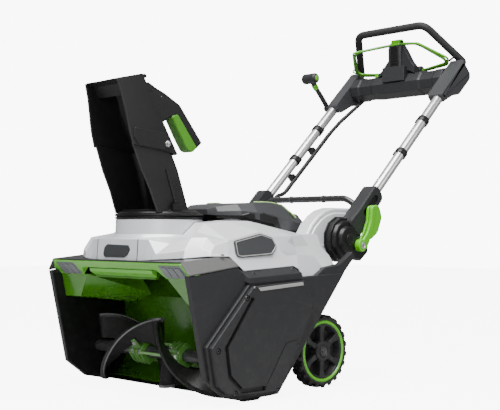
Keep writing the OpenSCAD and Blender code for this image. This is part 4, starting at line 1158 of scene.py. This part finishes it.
def bracket_parts():
    for side, name in ((1, "right"), (-1, "left")):
        body = Shape()
        arm = round_off([on_handle(0, s, n)[1:] for s, n in ((36, -30), (96, -27), (186, -24), (196, -10),
                                                            (196, 18), (184, 30), (96, 28), (36, 32))], 12, 3)
        body.pad(arm, 191.5, 232, 4.0)
        recess = [on_handle(0, s, n)[1:] for s, n in ((96, -12), (166, -11), (176, 0), (166, 13), (96, 12))]
        pocket = Shape().prism(round_off(recess, 8, 3), 226, 240)
        bore = Shape().rod(on_handle(TUBE_X, 40, 0), Vector(on_handle(0, 1, 0)) - Vector(on_handle(0, 0, 0)),
                           [(15.2, 0), (15.2, 170)], 32)
        if side < 0:
            body.flipped()
            pocket.flipped()
            bore.flipped()
        body.make(name + "_pivot_bracket", "handle", "dark_grey", "plate grey", [name + "_bracket"], edge=0.9,
                  cutters=[pocket, bore])
        drum = Shape()
        ring = [(math.cos(math.radians(30 * k + 15)), math.sin(math.radians(30 * k + 15))) for k in range(12)]
        for x0, x1, r0, r1 in ((201.2, 216, 60, 60), (216, 226, 53, 50), (226, 236, 38, 34)):
            drum.loft([[(x, PIVOT[0] + c * r, PIVOT[1] + s * r) for c, s in ring]
                       for x, r in ((x0, r0), (x1 - 1.5, r1), (x1, r1 - 1.5))])
        drum.rod((235, *PIVOT), (1, 0, 0), [(16, 0), (16, 3.5), (11, 4.5), (10, 3.0)], 24)
        if side < 0:
            drum.flipped()
        drum.make(name + "_pivot_drum", "handle", "dark_grey", "plain black", edge=1.2)
        socket = Shape()
        socket.pad([(40, 330), (74, 326), (104, 348), (106, 372), (98, 388), (74, 396), (44, 384), (34, 356)],
                   216,
                   236, 4.0)
        socket.pad(round_off([on_handle(0, s, n)[1:] for s, n in ((102, -8), (160, -8), (168, 0), (160, 8),
                                                                 (102, 8))], 5, 3), 225.5, 228, 0.8)
        if side < 0:
            socket.flipped()
        socket.make(name + "_lever_socket", "handle", "dark_grey", "plain black", edge=0.8)
        lever = Shape()
        for x0, x1 in ((233, 240), (246, 253)):
            lever.pad(round_off([(54, 356), (66, 352), (80, 362), (98, 392), (112, 430), (115, 470),
                                 (108, 479),
                                 (99, 470), (96, 436), (80, 402), (60, 380), (50, 366)], 6, 2), x0, x1, 2.0)
        lever.pad(round_off([(100, 430), (108, 479), (133, 479), (147, 446), (128, 402), (100, 384),
                             (86, 386)], 9, 3),
                  234, 252, 3.0)
        lever.rod((233.5, 62, 368), (1, 0, 0), [(15.5, 0), (17, 2), (17, 17), (15, 19)], 32)
        if side < 0:
            lever.flipped()
        lever.make(name + "_clamp_lever", name + "_lever", "lime_green", "lime", [name + "_cam_lever"],
                   edge=1.0)
        nut = Shape()
        nut.rod((252.5, 62, 368), (1, 0, 0), [(9, 0), (9, 1.6), (6, 2.2), (5.2, 1.0)], 24)
        if side < 0:
            nut.flipped()
        nut.make(name + "_lever_nut", name + "_lever", "steel", "zinc steel", edge=0.3)


def tube_parts():
    for side, name in ((1, "right"), (-1, "left")):
        bar = Shape()
        bar.tube([on_handle(side * TUBE_X, s, 0) for s in (69, 240, 420, 611.5)], 14.8, 48)
        for s in (230, 455):
            bar.tube([on_handle(side * TUBE_X, s + d, 14.6 + h) for d,
                      h in ((-4, 0), (-1, 1.0), (1, 1.0), (4, 0))],
                     [1.0, 3.0, 3.0, 1.0], 12)
        bar.make(name + "_tube_bar", "handle", "tube_silver", "tube silver", [name + "_tube"], edge=0.3)
    clips = Shape()
    for side in (1, -1):
        for s in (360, 508):
            along = Vector(on_handle(0, 1, 0)) - Vector(on_handle(0, 0, 0))
            clips.turned([(14.9, -9), (17.6, -9), (18.2, -7), (18.2, 7), (17.6, 9), (14.9, 9), (14.9, -9)],
                         on_handle(side * TUBE_X, s, 0), along, 40)
            clips.loft([[handle_place(side * (TUBE_X - 18 + a), n, s + d) for a, d in ((-6, -7), (3, -7),
                                                                                       (3, 7),
                                                                                    (-6, 7))] for n in (-5,
                                                                                                        5)])
    clips.make("tube_clip_bands", "handle", "black_plastic", "plain black", ["tube_clips"], edge=0.5)
    cross = Shape()
    ends = [on_handle(-185, 132, 0), on_handle(-172, 136, 8), on_handle(-146, 144, 22),
            on_handle(146, 144, 22),
            on_handle(172, 136, 8), on_handle(185, 132, 0)]
    cross.tube(round_off(ends, 14, 4, closed=False), 9, 24)
    for side in (1, -1):
        cross.pad([on_handle(0, s, n)[1:] for s, n in ((119, -9), (119, 11), (145, 11), (145, -9))],
                  side * 181,
                  side * 192.5, 2.0)
        cross.tube([on_handle(side * x, 143.8, 22) for x in (60, 66)], 10.6, 24)
    cross.make("crossbar_rod", "handle", "black_steel", "black steel", ["crossbar"], edge=0.6)


def console_parts():
    caps = Shape()
    outline = [on_handle(0, s, n)[1:] for s, n in ((613, -13), (611, 17), (626, 20), (789, 20), (791, -36),
                                                  (776, -52), (700, -50), (668, -30))]
    caps.pad(round_off(outline, 7, 3), 181, 228, 7.0)
    caps.pad(offset(round_off(outline, 7, 3), 16), 226.5, 228.4, 1.4)
    caps.mirrored().make("console_end_caps", "handle", "dark_grey", "lid grey", ["console_caps"], edge=1.4,
                         sharp=24)
    beam = Shape()
    face = [(528, 856), (560, 842), (596, 846), (614, 872), (606, 908), (574, 922), (540, 914), (522, 886)]
    rings = []
    for x, k in ((-180, 1.0), (-150, 1.0), (-146, 0.93), (-98, 0.93), (-92, 1.0), (92, 1.0), (98, 0.93),
                 (146, 0.93), (150, 1.0), (180, 1.0)):
        rings.append([(x, 568 + (y - 568) * k, 882 + (z - 882) * k) for y, z in face])
    beam.loft(rings)
    beam.pad([(528, 900), (526, 996), (534, 1016), (552, 1018), (562, 1004), (566, 900)], -25, 25, 4.0)
    beam.loft([[(x, y, z) for y, z in ((534, z0), (558, z0), (558, z1), (534, z1))]
               for x, z0, z1 in ((20, 1012, 930), (34, 992, 926), (58, 950, 918), (72, 934, 912))])
    beam.loft([[(-x, y, z) for y, z in ((534, z0), (558, z0), (558, z1), (534, z1))]
               for x, z0, z1 in ((20, 990, 930), (30, 962, 926), (58, 930, 916), (72, 922, 912))])
    beam.loft([[(sx * 1.0, y, z) for y, z in ((520, 938), (566, 938), (574, 905), (518, 890))]
               for sx in (-44, 44)])
    for sx in (1, -1):
        beam.rod((sx * 54, 582, 925), (sx, 0, 0), [(12, 0), (15, 2), (15, 14), (12, 16.5), (7, 17.5)], 32)
    beam.make("console_beam", "handle", "dark_grey", "plate grey", ["console"], edge=1.6, sharp=24)
    face_plate = Shape()
    face_plate.pad(round_off([(-17, 0), (17, 0), (14, 78), (-14, 78)], 5, 3), 0, 2.2, 1.0,
                   lambda u, v, w: (u, 528.5 - v * 0.035 - w, 926 + v))
    face_plate.make("console_tower_face", "handle", "black_plastic", "plain black", edge=0.6)
    knobs = Shape()
    knobs.rod((58, 584, 925), (1, 0, 0), [(9, 0), (9, 3), (4, 3.5)], 24)
    for k in range(5):
        knobs.pad([(-10, -2), (10, -2), (10, 2), (-10, 2)], 0, 2, 0.6,
                  lambda u, v, w, k=k: (u, 526 - w, 940 + 9 * k + v))
    knobs.make("console_tower_ribs", "handle", "black_plastic", "plain black", edge=0.4)


def grip_parts():
    loop = Shape()
    root = 790.4
    path = [on_handle(-204, root, -4), on_handle(-204, root + 18, -4), (-132, 505, 1052), (132, 505, 1052),
            on_handle(204, root + 18, -4), on_handle(204, root, -4)]
    loop.tube(round_off(path, 26, 8, closed=False), 11.9, 24)
    loop.make("grip_loop_foam", "handle", "grip_foam", "foam grip", ["grip_loop"], edge=0.2)
    rings = Shape()
    for side in (1, -1):
        along = Vector((side * -72, -68, 128)).normalized()
        rings.turned([(12.2, -3), (13.6, -2), (13.6, 2), (12.2, 3)], (side * 192, 570, 948), along, 32)
    rings.make("grip_end_rings", "handle", "black_plastic", "plain black", edge=0.2)


def wire_parts():
    cross = Shape()
    cross.tube(round_off([(-160, 566, 845), on_handle(-187, 594, -36), on_handle(-189, 530, -32),
                          on_handle(-192, 236, -32), on_handle(-192, 208, -16), on_handle(-192, 188, -16)],
                         14, 5,
                         closed=False), 6.2, 16)
    for k in range(54):
        s = 250 + k * 5.2
        along = Vector(on_handle(0, 1, 0)) - Vector(on_handle(0, 0, 0))
        x = -192 + 3 * (s - 236) / 294
        cross.turned([(6.1, -1.2), (6.9, -0.6), (6.9, 0.6), (6.1, 1.2)], on_handle(x, s, -32), along, 16)
    cross.make("conduit_hose", "handle", "black_plastic", "cable sheath", ["conduit"], edge=0.2)
    holders = Shape()
    for s in (300, 430):
        holders.loft([[handle_place(-209 + a, n, s + d) for a, d in ((-4, 0), (20, 0), (20, 12), (-4, 12))]
                      for n in (-15, -37)])
    holders.make("conduit_holders", "handle", "black_plastic", "plain black", edge=0.8)
    dress("control_cable", "cable sheath", edge=0.1, sharp=50)


def bail_parts():
    bail = Shape()
    path = [(-70, 582, 925), (-185, 566, 937), (-126, 477, 991), (0, 545, 1013), (126, 477, 991),
            (185, 566, 937),
            (70, 582, 925)]
    bail.tube(round_off(path, 30, 7, closed=False), 4.2, 16)
    bail.make("bail_wire", "bail", "bail_green", "wire green", edge=0.1)
    clip = Shape()
    clip.pad([(528, 1008), (534, 1026), (552, 1029), (562, 1016), (558, 1004), (538, 1001)], -17, 17, 3.5)
    clip.make("bail_clip", "bail", "lime_green", "lime", edge=1.0)


def chute_lever_parts():
    lever = Shape()
    lever.tube([(-243, 478, 824), (-243, 452, 852), (-243, 400, 904)], [8, 8, 7.5], 24)
    lever.rod((-252, 480, 820), (1, 0, 0), [(9, 0), (11, 2), (11, 15), (9, 17)], 32)
    lever.make("chute_lever_stalk", "chute_control", "lever_grey", "plate grey", ["chute_lever"], edge=0.8)
    head = Shape()
    head.tube([(-272, 394, 910), (-266, 394, 910), (-220, 394, 910), (-214, 394, 910)], [12, 17, 17, 12], 24)
    head.make("chute_lever_head", "chute_control", "lever_grey", "plate grey", edge=1.4)
    collar = Shape()
    collar.tube([(-243, 424, 880), (-243, 411, 893)], 9.6, 24)
    collar.rod((-214.5, 394, 910), (1, 0, 0), [(9, 0), (9, 1.2), (7, 1.6)], 24)
    collar.make("chute_lever_collar", "chute_control", "lime_green", "lime", edge=0.5)


def button_parts():
    button = Shape()
    button.rod((-95, 562, 912), (0, 0, 1), [(8.9, 0.5), (8.9, 16.6), (7.6, 17.8), (4.5, 17.2)], 40)
    button.make("start_button_cap", "button", "lime_green", "lime", ["start_button"], edge=0.3)


# ---- stage ----

CAMERA_AT = (2.0408, -2.1341, 0.3924)
CAMERA_TURN = math.radians(45.4)
CAMERA_TILT = math.radians(-1.7)
CAMERA_ROLL = math.radians(0.31)


def lamp_light(name, at, target, power, size):
    data = bpy.data.lights.new(name, "AREA")
    data.energy = power
    data.shape = "RECTANGLE"
    data.size = size
    data.size_y = size
    lamp = bpy.data.objects.new(name, data)
    lamp.location = at
    lamp.rotation_euler = (Vector(target) - Vector(at)).to_track_quat("-Z", "Y").to_euler()
    bpy.context.scene.collection.objects.link(lamp)


def build_stage(look):
    floor_mesh = bpy.data.meshes.new("floor")
    side = 9.0
    floor_mesh.from_pydata([(-side, -side, 0), (side, -side, 0), (side, side, 0), (-side, side, 0)], [],
                           [(0, 1, 2, 3)])
    floor = bpy.data.objects.new("floor", floor_mesh)
    bpy.context.scene.collection.objects.link(floor)
    pale = bpy.data.materials.new("floor pale")
    pale.use_nodes = True
    tree = pale.node_tree
    shader = tree.nodes["Principled BSDF"]
    place = tree.nodes.new("ShaderNodeTexCoord").outputs["Object"]
    cloud = noise(tree, place, 3.0, 3.0)
    tone = tree.nodes.new("ShaderNodeMapRange")
    tone.inputs["To Min"].default_value = 0.93
    tone.inputs["To Max"].default_value = 0.97
    tree.links.new(cloud, tone.inputs["Value"])
    dim = math_node(tree, "MULTIPLY", tone.outputs["Result"], 0.42)
    tree.links.new(dim, shader.inputs["Base Color"])
    shader.inputs["Roughness"].default_value = 0.75
    seen = tree.nodes.new("ShaderNodeLightPath").outputs["Is Camera Ray"]
    lift = math_node(tree, "MULTIPLY", seen, 8.0)
    tree.links.new(tone.outputs["Result"], shader.inputs["Emission Color"])
    tree.links.new(lift, shader.inputs["Emission Strength"])
    floor_mesh.materials.append(pale)
    world = bpy.data.worlds.new("studio")
    world.use_nodes = True
    nodes = world.node_tree
    back = nodes.nodes["Background"]
    coords = nodes.nodes.new("ShaderNodeTexCoord").outputs["Generated"]
    split = nodes.nodes.new("ShaderNodeSeparateXYZ")
    nodes.links.new(coords, split.inputs[0])
    rise = nodes.nodes.new("ShaderNodeMapRange")
    rise.inputs["From Min"].default_value = -0.2
    rise.inputs["From Max"].default_value = 1.0
    rise.inputs["To Min"].default_value = 0.55
    rise.inputs["To Max"].default_value = 1.25
    nodes.links.new(split.outputs["Z"], rise.inputs["Value"])
    seen = nodes.nodes.new("ShaderNodeLightPath").outputs["Is Camera Ray"]
    level = nodes.nodes.new("ShaderNodeMix")
    level.data_type = "FLOAT"
    nodes.links.new(seen, level.inputs[0])
    scaled = nodes.nodes.new("ShaderNodeMath")
    scaled.operation = "MULTIPLY"
    scaled.inputs[1].default_value = look.sky
    nodes.links.new(rise.outputs["Result"], scaled.inputs[0])
    nodes.links.new(scaled.outputs[0], level.inputs[2])
    level.inputs[3].default_value = 9.0
    nodes.links.new(level.outputs[0], back.inputs["Strength"])
    back.inputs["Color"].default_value = (1.0, 1.0, 1.0, 1.0)
    bpy.context.scene.world = world
    lamp_light("key", (0.6, -1.2, 3.4), (0, -0.1, 0.45), look.key_power, 2.6)
    lamp_light("front", (3.0, -3.2, 1.6), (0, -0.2, 0.4), look.fill_power, 1.8)
    lamp_light("side", (3.6, 1.6, 1.8), (0, 0.1, 0.4), look.fill_power * 0.6, 1.6)
    data = bpy.data.cameras.new("camera")
    data.sensor_width = 36.0
    data.lens = look.lens
    data.clip_end = 60.0
    a, e, r = CAMERA_TURN, CAMERA_TILT, CAMERA_ROLL
    back_dir = Vector((math.sin(a) * math.cos(e), -math.cos(a) * math.cos(e), math.sin(e)))
    ahead = -back_dir
    right = ahead.cross(Vector((0, 0, 1))).normalized()
    up = right.cross(ahead)
    level_x = right * math.cos(r) + up * math.sin(r)
    level_y = -right * math.sin(r) + up * math.cos(r)
    turn = Matrix((level_x, level_y, back_dir)).transposed()
    camera = bpy.data.objects.new("camera", data)
    camera.matrix_world = Matrix.Translation(CAMERA_AT) @ turn.to_4x4()
    bpy.context.scene.collection.objects.link(camera)
    bpy.context.scene.camera = camera


# ---- operators ----

class SNOW_OT_materials(Operator):
    """Makes the procedural materials every piece uses"""
    bl_idname = "snow_blower.materials"
    bl_label = "Materials"

    def execute(self, context):
        make_materials(context.scene.snow_blower_finish)
        return {"FINISHED"}


class SNOW_OT_sides(Operator):
    """Builds the side plates and the belt cover"""
    bl_idname = "snow_blower.sides"
    bl_label = "Side plates and belt cover"

    def execute(self, context):
        side_plates()
        belt_cover()
        return {"FINISHED"}


class SNOW_OT_front(Operator):
    """Builds the front frame, lamps, deck and auger housing"""
    bl_idname = "snow_blower.front"
    bl_label = "Front frame and lamps"

    def execute(self, context):
        front_frame()
        headlights()
        front_deck()
        auger_housing()
        return {"FINISHED"}


class SNOW_OT_shell(Operator):
    """Builds the silver body shell, its ear panels and badges"""
    bl_idname = "snow_blower.shell"
    bl_label = "Body shell"

    def execute(self, context):
        body_shell()
        ear_panels()
        badges()
        return {"FINISHED"}


class SNOW_OT_lid(Operator):
    """Builds the battery lid"""
    bl_idname = "snow_blower.lid"
    bl_label = "Battery lid"

    def execute(self, context):
        battery_lid()
        return {"FINISHED"}


class SNOW_OT_inside(Operator):
    """Finishes the battery bay, motor and belt drive"""
    bl_idname = "snow_blower.inside"
    bl_label = "Inner parts"

    def execute(self, context):
        bay_parts()
        return {"FINISHED"}


class SNOW_OT_chute(Operator):
    """Builds the turning chute and its deflector"""
    bl_idname = "snow_blower.chute"
    bl_label = "Chute"

    def execute(self, context):
        chute_parts()
        return {"FINISHED"}


class SNOW_OT_auger(Operator):
    """Builds the auger, its paddles and clamps"""
    bl_idname = "snow_blower.auger"
    bl_label = "Auger"

    def execute(self, context):
        auger_parts()
        return {"FINISHED"}


class SNOW_OT_wheels(Operator):
    """Builds the two wheels"""
    bl_idname = "snow_blower.wheels"
    bl_label = "Wheels"

    def execute(self, context):
        wheel_parts()
        return {"FINISHED"}


class SNOW_OT_pivots(Operator):
    """Builds the handle pivots, brackets and clamp levers"""
    bl_idname = "snow_blower.pivots"
    bl_label = "Pivots and clamp levers"

    def execute(self, context):
        pivot_parts()
        bracket_parts()
        return {"FINISHED"}


class SNOW_OT_handle(Operator):
    """Builds the handle tubes, console, grip loop and cables"""
    bl_idname = "snow_blower.handle"
    bl_label = "Handle"

    def execute(self, context):
        tube_parts()
        console_parts()
        grip_parts()
        wire_parts()
        return {"FINISHED"}


class SNOW_OT_controls(Operator):
    """Builds the bail, start button and chute lever"""
    bl_idname = "snow_blower.controls"
    bl_label = "Controls"

    def execute(self, context):
        bail_parts()
        button_parts()
        chute_lever_parts()
        return {"FINISHED"}


class SNOW_OT_stage(Operator):
    """Sets up the floor, lights and camera"""
    bl_idname = "snow_blower.stage"
    bl_label = "Stage"

    def execute(self, context):
        build_stage(context.scene.snow_blower_stage)
        return {"FINISHED"}


STEPS = (SNOW_OT_materials, SNOW_OT_sides, SNOW_OT_front, SNOW_OT_shell, SNOW_OT_lid, SNOW_OT_inside,
         SNOW_OT_chute,
         SNOW_OT_auger, SNOW_OT_wheels, SNOW_OT_pivots, SNOW_OT_handle, SNOW_OT_controls, SNOW_OT_stage)


class SNOW_PT_panel(Panel):
    """Lists the build steps and their settings"""
    bl_idname = "SNOW_PT_panel"
    bl_label = "Snow Blower"
    bl_space_type = "VIEW_3D"
    bl_region_type = "UI"
    bl_category = "Snow Blower"

    def draw(self, context):
        layout = self.layout
        for group in (context.scene.snow_blower_finish, context.scene.snow_blower_stage):
            for key in group.bl_rna.properties.keys():
                if key not in ("rna_type", "name"):
                    layout.prop(group, key)
        for step in STEPS:
            layout.operator(step.bl_idname)


CLASSES = (SnowBlowerFinish, SnowBlowerStage, *STEPS, SNOW_PT_panel)


def register():
    for kind in CLASSES:
        bpy.utils.register_class(kind)
    bpy.types.Scene.snow_blower_finish = PointerProperty(type=SnowBlowerFinish)
    bpy.types.Scene.snow_blower_stage = PointerProperty(type=SnowBlowerStage)


def unregister():
    del bpy.types.Scene.snow_blower_stage
    del bpy.types.Scene.snow_blower_finish
    for kind in reversed(CLASSES):
        bpy.utils.unregister_class(kind)


def main():
    register()
    build = bpy.ops.snow_blower
    build.materials()
    build.sides()
    build.front()
    build.shell()
    build.lid()
    build.inside()
    build.chute()
    build.auger()
    build.wheels()
    build.pivots()
    build.handle()
    build.controls()
    build.stage()


if __name__ == "__main__":
    main()
